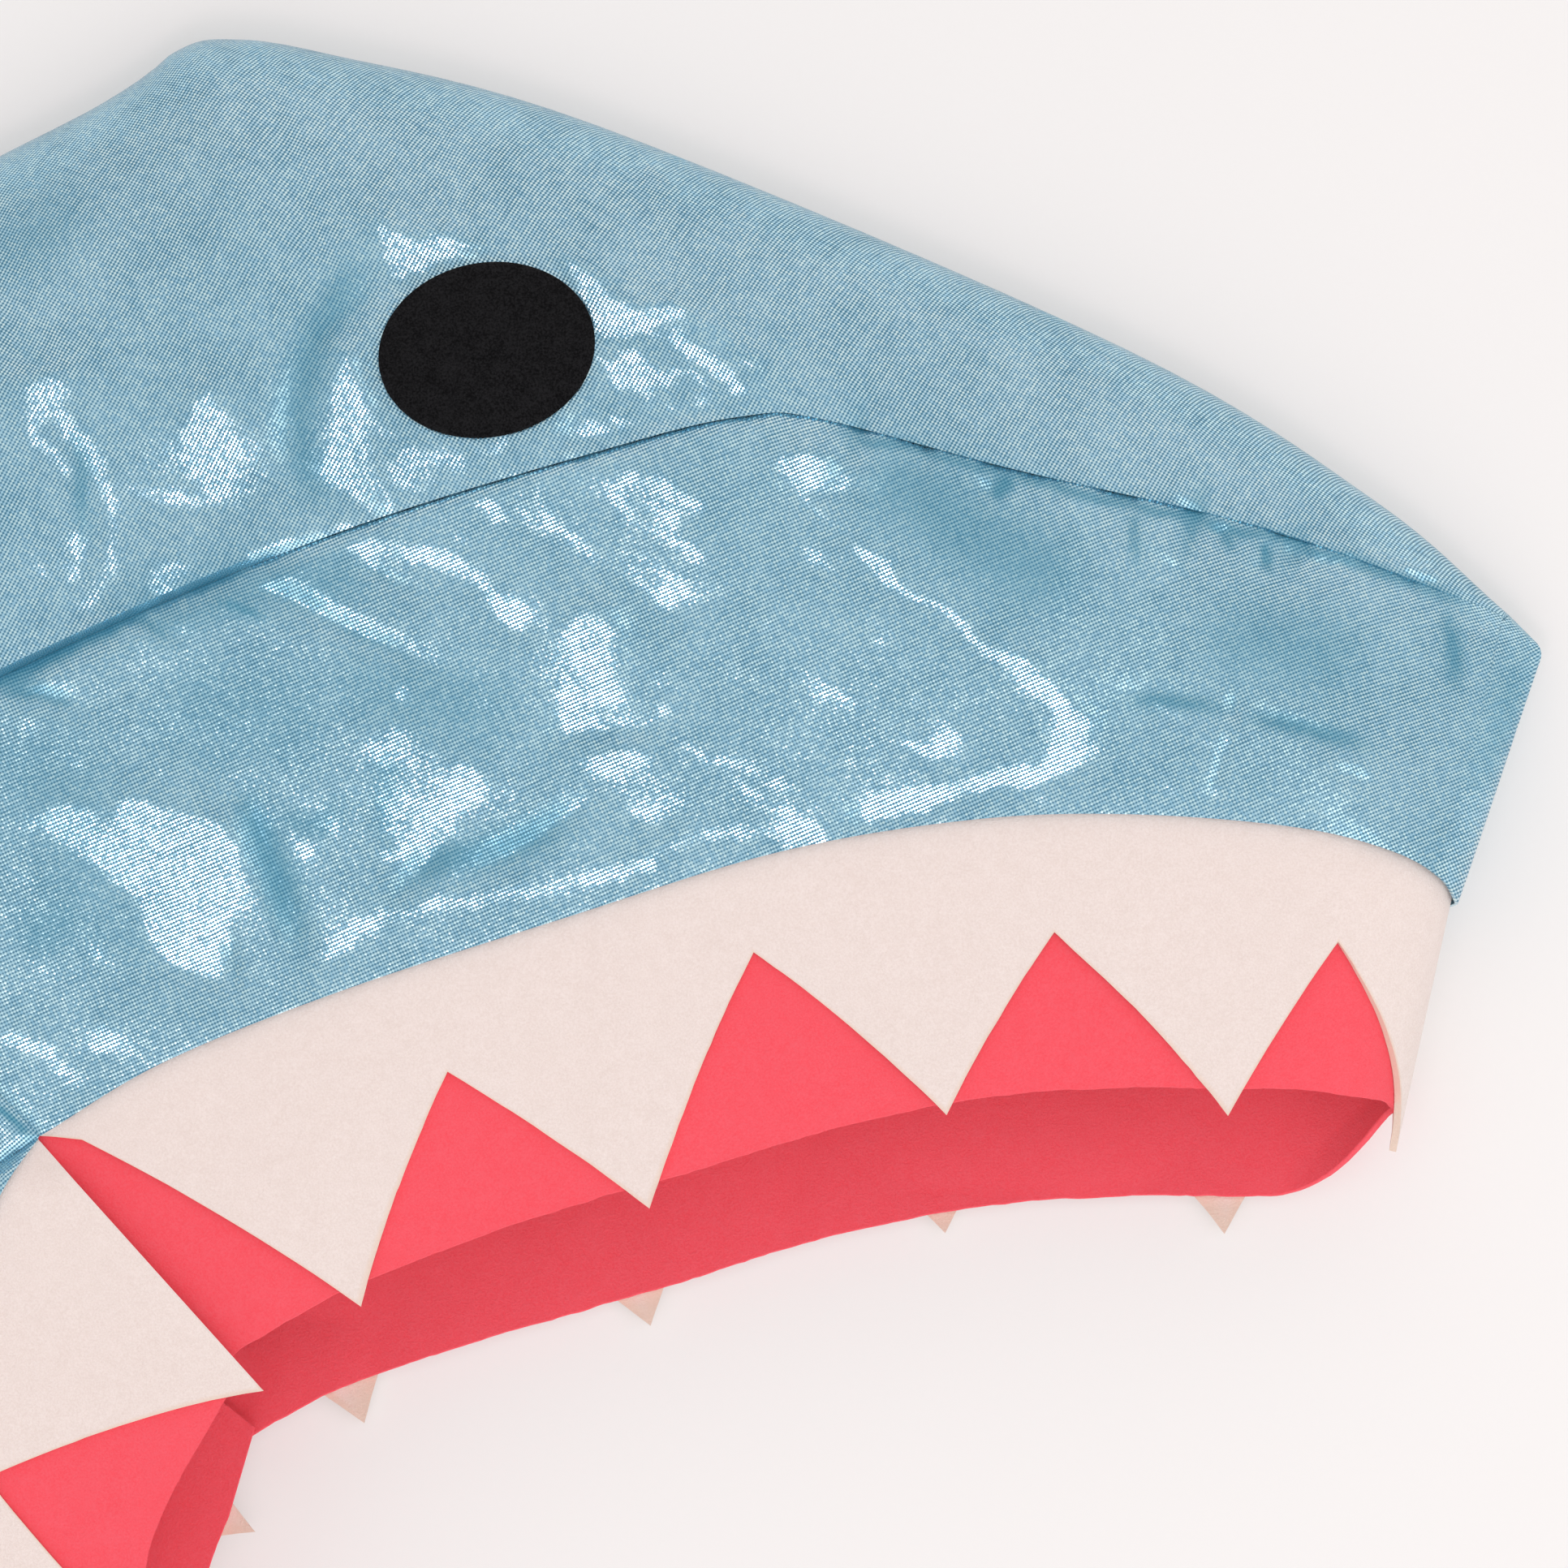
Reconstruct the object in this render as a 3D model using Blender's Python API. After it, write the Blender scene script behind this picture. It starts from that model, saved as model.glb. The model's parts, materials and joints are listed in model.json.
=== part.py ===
"""Shark dress-up hood of shimmering cloth and felt, laid on its left side on a table.

The pattern is drawn in millimetres on the plane of the table, with its origin at the corner of the
mouth: +X runs towards the nose, +Y towards the crown, and +Z up from the table. The right half of
the hood lies on top and swells like a pillow; the left half lies flat underneath. Each sewn piece
is a thin closed shell, and every shell takes its place from the same two swelling surfaces.
"""

import math

import bmesh
import bpy
import numpy as np

MM = 0.001

# Thickness of each material, and the gaps between layers
CLOTH = 1.0
FELT = 1.4
WADDING = 2.4
LINING = 0.6
FACING = 0.8
GAP = 0.4
LOOSE_GAP = 0.8

# How the hood lies: heights above the table, and widths over which the cloth rolls to its edges
HEIGHT = 46.0
SEAM_HEIGHT = 8.0
MOUTH_HEIGHT = 23.0
RIDGE_ROLL = 75.0
NOSE_ROLL = 55.0
LIP_ROLL = 22.0
TABLE_ROLL = 16.0
UNDERSIDE_SPREAD = 24.0
SPREAD_WIDTH = 32.0
SPREAD_EASE = 2.5
DRAW_WIDTH = 30.0

# Sewing lines of one half, from the neck towards the nose
RIDGE = [(-157, -56), (-152, -8), (-117, 91), (-48, 169), (13, 205.6), (26, 215), (36, 217.3),
         (56, 214.4), (110, 200), (214, 156), (264, 125.6), (290.5, 103)]
CROWN_SEAM = [(-141, -68), (-125, -15), (-60, 62), (-8, 90.4), (56, 118), (113.6, 136), (139, 142),
              (154, 141.4), (192, 131.5), (241.6, 120), (284.8, 104.6), (288.8, 101.8)]
UPPER_LIP = [(0, 0), (24, 14.4), (59, 28.5), (104, 43.2), (145.6, 56), (184, 62.4), (216, 63.4),
             (248, 60.8), (267, 56), (276.5, 50.6), (280, 45.6)]
LOWER_LIP = [(0, 0), (-8, -12), (-19, -38), (-26, -75), (-27, -115), (-22, -155)]
NOSE_TIP = (297.5, 96.0)
CHEEK_SEAM_END = (-119.5, -83.5)
CHEEK_SEAM_ANGLE = math.degrees(math.atan2(CHEEK_SEAM_END[1], CHEEK_SEAM_END[0]))

# Felt strips round the mouth
FELT_DEPTH = 58.0
FELT_DEPTH_FRONT = 43.0
FELT_TUCK = 5.0
TIP_OVERHANG = 2.5
NOTCH_DEPTH = 20.0
TOOTH_TIPS = (30.0, 105.0, 181.0, 249.5)
TOOTH_NOTCHES = (77.0, 146.5, 210.0, 271.0)
LOWER_TIPS = (28.0, 94.0)
LOWER_NOTCHES = (61.0, 127.0)
HANG_CORNER = -47.0
HANG_FRONT = -102.4
LOWER_HANG_CORNER = -31.0
LOWER_HANG_END = -12.0
LOWER_FELT_START = 14.0
LOWER_FELT_END = 132.0

# Eyes and linings
EYE_CENTRE = (88.0, 155.0)
EYE_LENGTH = 43.0
EYE_HEIGHT = 34.5
EYE_TILT = 12.0
LINING_INSET = 10.0
LINING_NECK = 1.0
WADDING_NECK = 6.0
WADDING_CLEAR = 4.0
FACING_WIDTH = 20.0
FACING_STOP = 50.0
CORNER_CLEARANCE = 3.0
THROAT_START = 7.0

# The lower jaw's felt lies over the upper jaw's, so near the corner its pieces lie this much higher
JAW_LIFT = 2 * (FELT + GAP)
LIFT_WIDTH = 18.0
LIFT_SLOPE = 0.45

RIGHT = "right"
LEFT = "left"

# Rows of facets across the crown, snout and cheek panels
ROWS = {RIGHT: (8, 8, 6), LEFT: (6, 7, 4)}

COLOURS = {
    "shimmer_cloth": ((0.27, 0.50, 0.61, 1.0), 0.35, 0.35),
    "white_felt": ((0.86, 0.77, 0.73, 1.0), 0.95, 0.0),
    "coral_felt": ((0.95, 0.10, 0.13, 1.0), 0.95, 0.0),
    "black_felt": ((0.010, 0.010, 0.011, 1.0), 0.95, 0.0),
    "lining_cloth": ((0.36, 0.58, 0.68, 1.0), 0.8, 0.0),
    "wadding": ((0.85, 0.85, 0.83, 1.0), 1.0, 0.0),
}


# Curves on the pattern plane

def smooth_curve(points, per_span=24):
    """A Catmull-Rom curve through the points, as a dense polyline."""
    p = np.array(points, float)
    p = np.vstack([2 * p[0] - p[1], p, 2 * p[-1] - p[-2]])
    t = np.linspace(0, 1, per_span, endpoint=False)[:, None]
    spans = []
    for a, b, c, d in zip(p, p[1:], p[2:], p[3:]):
        spans.append(0.5 * (2 * b + (c - a) * t + (2 * a - 5 * b + 4 * c - d) * t**2
                            + (3 * b - a - 3 * c + d) * t**3))
    return np.vstack([*spans, p[-2]])


def lengths(line):
    """Running length at each point of a polyline."""
    return np.concatenate([[0], np.cumsum(np.linalg.norm(np.diff(line, axis=0), axis=1))])


def at_lengths(line, wanted):
    """Points of a polyline at these running lengths."""
    run = lengths(line)
    return np.stack([np.interp(wanted, run, line[:, k]) for k in range(line.shape[1])], axis=-1)


def at_shares(line, shares):
    return at_lengths(line, np.asarray(shares) * lengths(line)[-1])


def smooth_step(low, high, value):
    """0 before low, 1 after high, and an easy change between them. Low may be the larger."""
    t = np.clip((np.asarray(value, float) - low) / (high - low), 0, 1)
    return t * t * (3 - 2 * t)


def direction(degrees):
    a = np.radians(degrees)
    return np.stack([np.cos(a), np.sin(a)], axis=-1)


ridge = smooth_curve(RIDGE)
ridge_edge = np.vstack([ridge, NOSE_TIP])
crown_seam = smooth_curve(CROWN_SEAM)
upper_lip = smooth_curve(UPPER_LIP)
lower_lip = smooth_curve(LOWER_LIP)
lip_front = upper_lip[-1]
felt_front_end = lip_front + 2 * FELT_DEPTH_FRONT * direction(HANG_FRONT)
front_edge = np.array([NOSE_TIP, lip_front, felt_front_end])


# The two swelling surfaces

def distance_inside(line, p):
    """Distance of each point from an edge, and the edge's inward normal there. Inside is on its right."""
    a, step = line[:-1], np.diff(line, axis=0)
    to_p = p[:, None, :] - a
    share = np.clip((to_p * step).sum(-1) / (step**2).sum(-1), 0, 1)
    gap = np.linalg.norm(to_p - share[..., None] * step, axis=-1)
    nearest = gap.argmin(1)
    every = np.arange(len(p))
    run = step / np.linalg.norm(step, axis=1)[:, None]
    at_corner = np.vstack([run[0], run[1:] + run[:-1], run[-1]])
    at_corner /= np.linalg.norm(at_corner, axis=1)[:, None]
    along = share[every, nearest][:, None]
    s = at_corner[nearest] * (1 - along) + at_corner[nearest + 1] * along
    s /= np.linalg.norm(s, axis=1)[:, None]
    return gap[every, nearest], np.stack([s[:, 1], -s[:, 0]], axis=-1)


def roll(share):
    """Quarter of an ellipse: the height of a rolled edge at this share of its width."""
    return np.sqrt(1 - (1 - np.clip(share, 0, 1))**2)


def front_share(p):
    """0 behind and above the nose, 1 at the lip's front, where the two halves stand apart."""
    return (smooth_step(NOSE_TIP[1], lip_front[1], p[:, 1])
            * smooth_step(NOSE_TIP[0] - 2 * RIDGE_ROLL, lip_front[0] - LIP_ROLL, p[:, 0]))


def in_eye(p, centre):
    """Distance from the eye's centre as a share of its outline."""
    turn = np.radians(EYE_TILT)
    x, y = (p - centre).T
    along = x * np.cos(turn) + y * np.sin(turn)
    across = y * np.cos(turn) - x * np.sin(turn)
    return np.hypot(along / (EYE_LENGTH / 2), across / (EYE_HEIGHT / 2))


def table_lift(p):
    """The left half lies on the table, but passes over the eye that is sewn under it."""
    return (FELT + GAP) * smooth_step(4.2, 1.75, in_eye(p, spread(np.array([EYE_CENTRE]))[0]))


def spread(p):
    """Where the left half lies: it is flat, so it reaches further from the ridge than the right.

    The more the front leans back under the nose, the wider the spread, so that it never folds over.
    """
    lean = (NOSE_TIP[0] - lip_front[0]) / np.linalg.norm(NOSE_TIP - lip_front)
    front_width = max(SPREAD_WIDTH, SPREAD_EASE * UNDERSIDE_SPREAD * lean)
    inside = np.minimum(distance_inside(ridge_edge, p)[0] / SPREAD_WIDTH,
                        distance_inside(front_edge, p)[0] / front_width)
    share = 1 - (1 - np.clip(inside, 0, 1))**2
    return p + np.outer(share, (0, -UNDERSIDE_SPREAD))


def drawn_in(p, depth):
    """The pattern point moved in from the ridge and the front, for a layer at this depth."""
    for edge in (ridge_edge, front_edge):
        inside, normal = distance_inside(edge, p)
        p = p + normal * (depth * np.clip(1 - inside / DRAW_WIDTH, 0, 1))[:, None]
    return p


def jaw_lift(p):
    """Full height along the lower lip and past it, easing to nothing towards the cheek seam."""
    inside, normal = distance_inside(lower_lip, p)
    nearest = lower_lip[np.linalg.norm(p[:, None] - lower_lip, axis=-1).argmin(1)]
    behind = np.where(((p - nearest) * normal).sum(-1) > 0, inside, 0)
    width = np.minimum(LIFT_WIDTH, LIFT_SLOPE * np.linalg.norm(p, axis=1))
    return JAW_LIFT * (1 - smooth_step(0, 1, behind / np.maximum(width, GAP)))


def layer_points(pattern, depth, side, of_jaw):
    """Space points of a layer this deep under the outside of one half."""
    p = pattern.reshape(-1, 2)
    lift = jaw_lift(p) if of_jaw else 0.0
    if side == LEFT:
        p = spread(p)
    p = drawn_in(p, depth)
    from_ridge = distance_inside(ridge_edge, p)[0] - depth
    from_front = distance_inside(front_edge, p)[0] - depth
    front = front_share(p)
    edge = SEAM_HEIGHT + (MOUTH_HEIGHT - SEAM_HEIGHT) * front
    if side == RIGHT:
        edge = edge + GAP / 2
        front_roll = NOSE_ROLL + (LIP_ROLL - NOSE_ROLL) * front
        flat = HEIGHT - depth
        swell = roll(from_ridge / RIDGE_ROLL) * roll(from_front / front_roll)
    else:
        edge = edge - GAP / 2
        flat = table_lift(p) + depth
        swell = roll(from_ridge / TABLE_ROLL) * roll(from_front / LIP_ROLL)
    z = edge + (flat - edge) * swell + lift
    return np.column_stack([p, z]).reshape(*pattern.shape[:2], 3)


# Patterns: a grid of points between two sewing lines

def loft(first, second, columns, rows, first_inset=GAP / 2, second_inset=GAP / 2):
    """Grid between two lines: columns and rows are shares along and across, and insets are lengths."""
    a, b = at_shares(first, columns), at_shares(second, columns)
    width = np.linalg.norm(b - a, axis=1)[:, None]
    shares = (first_inset + np.asarray(rows) * (width - first_inset - second_inset)) / width
    return a[:, None, :] + (b - a)[:, None, :] * shares[..., None]


def even(count, power=1.0):
    """Shares from 0 to 1, crowded towards 0 where the power is over 1."""
    return np.linspace(0, 1, count + 1)**power


def toward_end(count, power):
    """Shares from 0 to 1, crowded towards 1."""
    return 1 - even(count, power)[::-1]


def lip_columns():
    """Shares along the upper lip for every piece that meets it: each notch and tip, and points between."""
    pattern = at_shares(upper_lip, even(400))
    run = lengths(layer_points(pattern[:, None, :], 0.0, RIGHT, False)[:, 0])
    marks = np.sort([0.0, *TOOTH_TIPS, *TOOTH_NOTCHES])
    between = (marks[1:] + marks[:-1]) / 2
    wrap = marks[-1] + (run[-1] - marks[-1]) * toward_end(7, 1.2)[1:]
    marks = np.sort(np.concatenate([marks, between, wrap]))
    return np.interp(marks, run, even(400)), marks


def tooth_reach(run, depth, tips, notches, end):
    """Depth of a toothed edge along its lip, in straight lines between its tips and notches."""
    marks = np.array([0.0, *tips, *notches, max(run[-1], notches[-1] + GAP)])
    shares = np.array([0.0] + [1.0] * len(tips) + [0.0] * len(notches) + [end])
    order = marks.argsort()
    share = np.interp(run, marks[order], shares[order])
    floor = np.where(run < tips[0], GAP, NOTCH_DEPTH)
    return floor + (depth + TIP_OVERHANG - floor) * share


def hung(line_points, angles, tuck, reach, rows):
    """Grid of a strip hung from a line: a tuck behind it, then rows down to its reach."""
    hang = direction(angles)
    behind = line_points - tuck[:, None] * hang
    below = [line_points + (reach * r)[:, None] * hang for r in rows]
    return np.stack([behind, *below], axis=1)


def upper_strip(toothed):
    shares, run = lip_columns()
    angles = HANG_CORNER + (HANG_FRONT - HANG_CORNER) * shares
    depth = FELT_DEPTH + (FELT_DEPTH_FRONT - FELT_DEPTH) * smooth_step(0.8, 1, shares)
    reach = tooth_reach(run, depth, TOOTH_TIPS, TOOTH_NOTCHES, 1.0) if toothed else depth
    tuck = np.full_like(shares, FELT_TUCK)
    return hung(at_shares(upper_lip, shares), angles, tuck, reach, even(3))


def lower_strip(toothed):
    marks = np.sort([LOWER_FELT_START, *LOWER_TIPS, *LOWER_NOTCHES, LOWER_FELT_END])
    run = np.sort(np.concatenate([marks, (marks[1:] + marks[:-1]) / 2]))
    share = (run - run[0]) / (run[-1] - run[0])
    angles = LOWER_HANG_CORNER + (LOWER_HANG_END - LOWER_HANG_CORNER) * share**0.6
    depth = np.full_like(run, FELT_DEPTH)
    reach = tooth_reach(run, depth, LOWER_TIPS, LOWER_NOTCHES, 0.0) if toothed else depth
    tuck = GAP + (FELT_TUCK - GAP) * smooth_step(LOWER_FELT_START, LOWER_NOTCHES[0], run)
    return hung(at_lengths(lower_lip, run), angles, tuck, reach, even(3))


def seam_split():
    """Running lengths along the crown seam: where the snout seam meets it, and its front end."""
    run = lengths(crown_seam)
    return run[np.linalg.norm(crown_seam - CROWN_SEAM[2], axis=1).argmin()], run[-1]


def snout_seam_points(shares):
    """Points of the snout's top for these shares of the lip: the crown seam, then the nose's own edge."""
    meet, end = seam_split()
    last = len(shares) - 4
    on_seam = at_lengths(crown_seam, meet + (end - meet) * shares[:last + 1] / shares[last])
    past = np.linspace(on_seam[-1], NOSE_TIP, len(shares) - last)[1:]
    return on_seam, past


def cheek_seam_points():
    """Points of the crown seam that the cheek shares, from the snout seam back to the neck."""
    return at_lengths(crown_seam, np.linspace(seam_split()[0], 0, 10))


def crown_pattern(rows):
    """From the ridge down to the crown seam, through the seam points of the snout and the cheek."""
    on_seam = snout_seam_points(lip_columns()[0])[0]
    seam = np.vstack([cheek_seam_points()[::-1], on_seam[1:]])
    shares = lengths(seam) / lengths(seam)[-1]
    peak = ridge[:, 1].argmax()
    near_peak = (lengths(ridge)[peak] + np.array([-27, -18, -10, -3, 4, 12, 22])) / lengths(ridge)[-1]
    shares = shares[[np.abs(near_peak - k).min() > 0.004 or k in (0, 1) for k in shares]]
    return loft(ridge, seam, np.sort(np.concatenate([shares, near_peak])), even(rows, 1.6), 0.0)


def snout_pattern(rows):
    """From the lip up to the crown seam; its top runs on past the seam to the tip of the nose."""
    shares = lip_columns()[0]
    on_seam, past = snout_seam_points(shares)
    low = at_shares(upper_lip, shares)
    high = np.vstack([on_seam, past])
    inset = np.where(np.arange(len(shares)) < len(on_seam), GAP / 2, 0)[:, None]
    high = high + (low - high) * inset / np.linalg.norm(low - high, axis=1)[:, None]
    return low[:, None, :] + (high - low)[:, None, :] * even(rows)[:, None]


def cheek_pattern(rows):
    """Behind the corner of the mouth: from the snout and crown seams down to the cheek seam."""
    meet = at_lengths(crown_seam, seam_split()[0])
    start = CORNER_CLEARANCE * direction(CHEEK_SEAM_ANGLE - 80)
    across = np.array([-meet[1], meet[0]]) / np.linalg.norm(meet)
    snout_seam = np.linspace(start, meet + across * GAP / 2, 6)
    upper = np.vstack([snout_seam, cheek_seam_points()[1:]])
    lower = np.linspace(CORNER_CLEARANCE * direction(CHEEK_SEAM_ANGLE), CHEEK_SEAM_END, len(upper))
    width = np.linalg.norm(lower - upper, axis=1)[:, None]
    shares = (GAP / 2 + even(rows) * (width - GAP)) / width
    return upper[:, None, :] + (lower - upper)[:, None, :] * shares[..., None]


def throat_pattern(rows):
    """Between the cheek seam and the lower lip, down to the neck."""
    seam = np.array([THROAT_START * direction(CHEEK_SEAM_ANGLE), CHEEK_SEAM_END])
    run = lengths(lower_lip)
    lip = at_lengths(lower_lip, np.linspace(THROAT_START, run[-1], 60))
    return loft(seam, lip, even(14), toward_end(rows, 1.7), second_inset=0.0)


def inner_pattern(lip_inset, neck_inset):
    """Lining and wadding of one half: from near the ridge down to the cheek seam and the lip."""
    cheek = np.linspace(CHEEK_SEAM_END, CORNER_CLEARANCE * direction(CHEEK_SEAM_ANGLE), 30)
    lower = np.vstack([cheek, at_shares(upper_lip, even(80)[1:])])
    shares = np.concatenate([even(8) * 0.33, 0.33 + 0.67 * toward_end(16, 1.3)[1:]])
    trim = neck_inset / lengths(lower)[-1]
    shares = trim + (1 - trim) * shares
    return loft(ridge_edge, lower, shares, even(6, 1.3), LINING_INSET, lip_inset)


def facing_pattern(from_point, to_point, start, stop):
    """Strip inside the neck edge between two of its points, stopping short of each."""
    a, b = np.array(from_point, float), np.array(to_point, float)
    along = (b - a) / np.linalg.norm(b - a)
    inward = np.array([-along[1], along[0]])
    ends = np.linspace(a + start * along, b - stop * along, 7)
    return np.stack([ends + GAP * inward, ends + FACING_WIDTH / 2 * inward,
                     ends + FACING_WIDTH * inward], axis=1)


# Solids

def material(name):
    made = bpy.data.materials.get(name)
    if made:
        return made
    colour, rough, metal = COLOURS[name]
    made = bpy.data.materials.new(name)
    made.use_nodes = True
    shader = made.node_tree.nodes["Principled BSDF"]
    shader.inputs["Base Color"].default_value = colour
    shader.inputs["Roughness"].default_value = rough
    shader.inputs["Metallic"].default_value = metal
    made.diffuse_color = colour
    return made


def add_object(name, bm, material_name, parent):
    bmesh.ops.recalc_face_normals(bm, faces=bm.faces)
    mesh = bpy.data.meshes.new(name)
    bm.to_mesh(mesh)
    bm.free()
    mesh.shade_smooth()
    mesh.set_sharp_from_angle(angle=math.radians(40))
    mesh.materials.append(material(material_name))
    made = bpy.data.objects.new(name, mesh)
    bpy.context.scene.collection.objects.link(made)
    made.parent = parent
    return made


def shell(name, pattern, side, outer, thickness, material_name, parent, of_jaw=False):
    """Closed shell over a pattern grid, from the outer depth inwards by its thickness."""
    bm = bmesh.new()
    faces = []
    for depth in (outer, outer + thickness):
        points = layer_points(pattern, depth, side, of_jaw) * MM
        faces.append([[bm.verts.new(p) for p in column] for column in points])
    for grid in faces:
        for a, b in zip(grid, grid[1:]):
            for k in range(len(a) - 1):
                bm.faces.new((a[k], b[k], b[k + 1], a[k + 1]))
    rims = [rim_of(grid) for grid in faces]
    count = len(rims[0])
    for k in range(count):
        n = (k + 1) % count
        bm.faces.new((rims[0][k], rims[0][n], rims[1][n], rims[1][k]))
    return add_object(name, bm, material_name, parent)


def rim_of(grid):
    """The points round a grid, in order."""
    return [c[0] for c in grid] + grid[-1][1:] + [c[-1] for c in grid[-2::-1]] + grid[0][-2:0:-1]


def eye(side, parent):
    """Oval of felt on the outside of the crown panel."""
    rings = np.linspace(0.12, 1, 4)
    angles = np.linspace(0, 2 * np.pi, 28, endpoint=False)
    turn = np.radians(EYE_TILT)
    x = np.outer(rings, EYE_LENGTH / 2 * np.cos(angles))
    y = np.outer(rings, EYE_HEIGHT / 2 * np.sin(angles))
    pattern = np.stack([x * np.cos(turn) - y * np.sin(turn),
                        x * np.sin(turn) + y * np.cos(turn)], axis=-1)
    if side == RIGHT:
        faces = [layer_points(pattern + EYE_CENTRE, d, side, False) for d in (-FELT - GAP, -GAP)]
    else:
        flat = pattern + spread(np.array([EYE_CENTRE]))
        faces = [np.dstack([flat, np.full(flat.shape[:2], z)]) for z in (FELT, 0.0)]
    bm = bmesh.new()
    grids = [[[bm.verts.new(p * MM) for p in ring] for ring in grid] for grid in faces]
    for grid in grids:
        bm.faces.new(grid[0])
        for inner, outer in zip(grid, grid[1:]):
            ring_faces(bm, inner, outer)
    ring_faces(bm, grids[0][-1], grids[1][-1])
    return add_object("eye_" + side, bm, "black_felt", parent)


def ring_faces(bm, inner, outer):
    for k in range(len(inner)):
        n = (k + 1) % len(inner)
        bm.faces.new((inner[k], inner[n], outer[n], outer[k]))


def build_half(side, root):
    """Every sewn piece of one half of the hood."""
    rows = ROWS[side]
    felt_depth = CLOTH + GAP
    coral_depth = felt_depth + FELT + GAP
    lining_depth = coral_depth + FELT + GAP
    shell("crown_panel_" + side, crown_pattern(rows[0]), side, 0, CLOTH, "shimmer_cloth", root)
    shell("snout_panel_" + side, snout_pattern(rows[1]), side, 0, CLOTH, "shimmer_cloth", root)
    shell("cheek_panel_" + side, cheek_pattern(rows[2]), side, 0, CLOTH, "shimmer_cloth", root)
    eye(side, root)
    shell("upper_teeth_" + side, upper_strip(True), side, felt_depth, FELT, "white_felt", root)
    shell("upper_mouth_felt_" + side, upper_strip(False), side, coral_depth, FELT, "coral_felt", root)
    wadding_pattern = inner_pattern(FELT_TUCK + WADDING_CLEAR, WADDING_NECK)
    shell("wadding_" + side, wadding_pattern, side, CLOTH + LOOSE_GAP, WADDING, "wadding", root)
    lining_pattern = inner_pattern(GAP, LINING_NECK)
    shell("lining_" + side, lining_pattern, side, lining_depth, LINING, "lining_cloth", root)
    neck_depth = lining_depth + LINING + GAP
    shell("neck_facing_" + side, facing_pattern(RIDGE[0], CHEEK_SEAM_END, LINING_INSET, GAP), side,
          neck_depth, FACING, "lining_cloth", root)

    shell("throat_panel_" + side, throat_pattern(7), side, 0, CLOTH, "shimmer_cloth", root, True)
    shell("lower_teeth_" + side, lower_strip(True), side, felt_depth, FELT, "white_felt", root, True)
    shell("lower_mouth_felt_" + side, lower_strip(False), side, coral_depth, FELT, "coral_felt", root,
          True)
    shell("throat_facing_" + side, facing_pattern(CHEEK_SEAM_END, LOWER_LIP[-1], GAP, FACING_STOP),
          side, CLOTH + LOOSE_GAP, FACING, "lining_cloth", root, True)


def main():
    for old in list(bpy.data.objects):
        bpy.data.objects.remove(old, do_unlink=True)
    root = bpy.data.objects.new("hood", None)
    bpy.context.scene.collection.objects.link(root)
    for side in (RIGHT, LEFT):
        build_half(side, root)
    bpy.context.view_layer.update()
    corners = np.array([v.co for o in bpy.data.objects if o.type == "MESH" for v in o.data.vertices])
    middle = (corners.min(0) + corners.max(0)) / 2
    root.location = (-middle[0], -middle[1], 0)
    print("jaw axis at", [round(-float(m), 6) for m in middle[:2]])


main()
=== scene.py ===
"""Looks of the shark dress-up hood: shimmering cloth, felt teeth, mouth and eyes, and a plain studio.

Patterns are in millimetres with the origin at the corner of the mouth, as the part's solids are drawn:
+X runs towards the nose, +Y towards the crown and +Z up from the table. The right half lies on top.
"""

import json
import math

import bmesh
import bpy
import numpy as np
from numpy.linalg import norm
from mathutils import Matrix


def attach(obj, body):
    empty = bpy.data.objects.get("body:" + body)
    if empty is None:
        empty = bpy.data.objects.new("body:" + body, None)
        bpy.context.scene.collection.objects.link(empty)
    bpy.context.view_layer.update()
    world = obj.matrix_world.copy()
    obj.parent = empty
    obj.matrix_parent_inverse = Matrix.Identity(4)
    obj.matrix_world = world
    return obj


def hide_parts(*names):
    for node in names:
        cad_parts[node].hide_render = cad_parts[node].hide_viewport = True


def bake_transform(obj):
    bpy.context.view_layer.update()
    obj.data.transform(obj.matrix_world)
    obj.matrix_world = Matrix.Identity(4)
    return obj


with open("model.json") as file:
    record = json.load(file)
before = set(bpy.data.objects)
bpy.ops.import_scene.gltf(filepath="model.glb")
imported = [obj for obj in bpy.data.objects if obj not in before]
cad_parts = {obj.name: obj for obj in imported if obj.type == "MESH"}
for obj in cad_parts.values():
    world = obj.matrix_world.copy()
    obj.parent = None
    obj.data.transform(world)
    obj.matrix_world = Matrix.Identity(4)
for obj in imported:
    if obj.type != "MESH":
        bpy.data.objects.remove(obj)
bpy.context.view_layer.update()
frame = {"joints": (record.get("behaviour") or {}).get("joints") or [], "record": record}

MM = 0.001
RIGHT = "right"
LEFT = "left"
CORNER = np.array(frame["joints"][0]["pos_m"])

# Thickness of each material, and the depth at which each layer starts under the outside
CLOTH = 0.6
FELT = 1.4
WADDING = 2.0
LINING = 0.6
FACING = 0.8
GAP = 0.4
SEAM_GAP = 0.04
TEETH_DEPTH = 1.4
CORAL_DEPTH = 2.9
WADDING_DEPTH = 1.9
LINING_DEPTH = 5.0
NECK_DEPTH = 6.0
THROAT_DEPTH = 1.8

# How the hood lies
HEIGHT = 46.0
SEAM_HEIGHT = 8.0
MOUTH_HEIGHT = 23.0
RIDGE_ROLL = 75.0
NOSE_ROLL = 55.0
LIP_ROLL = 22.0
TABLE_ROLL = 16.0
EYE_PASS = (4.2, 1.75)
UNDERSIDE_SPREAD = 24.0
SPREAD_WIDTH = 32.0
FRONT_LOOP = 29.0
DRAW_WIDTH = 30.0
JAW_LIFT = 3.6
FAR_FELT_LIFT = 4.8
LIFT_WIDTH = 18.0
LIFT_SLOPE = 0.45
LIFT_START = 12.0

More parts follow.
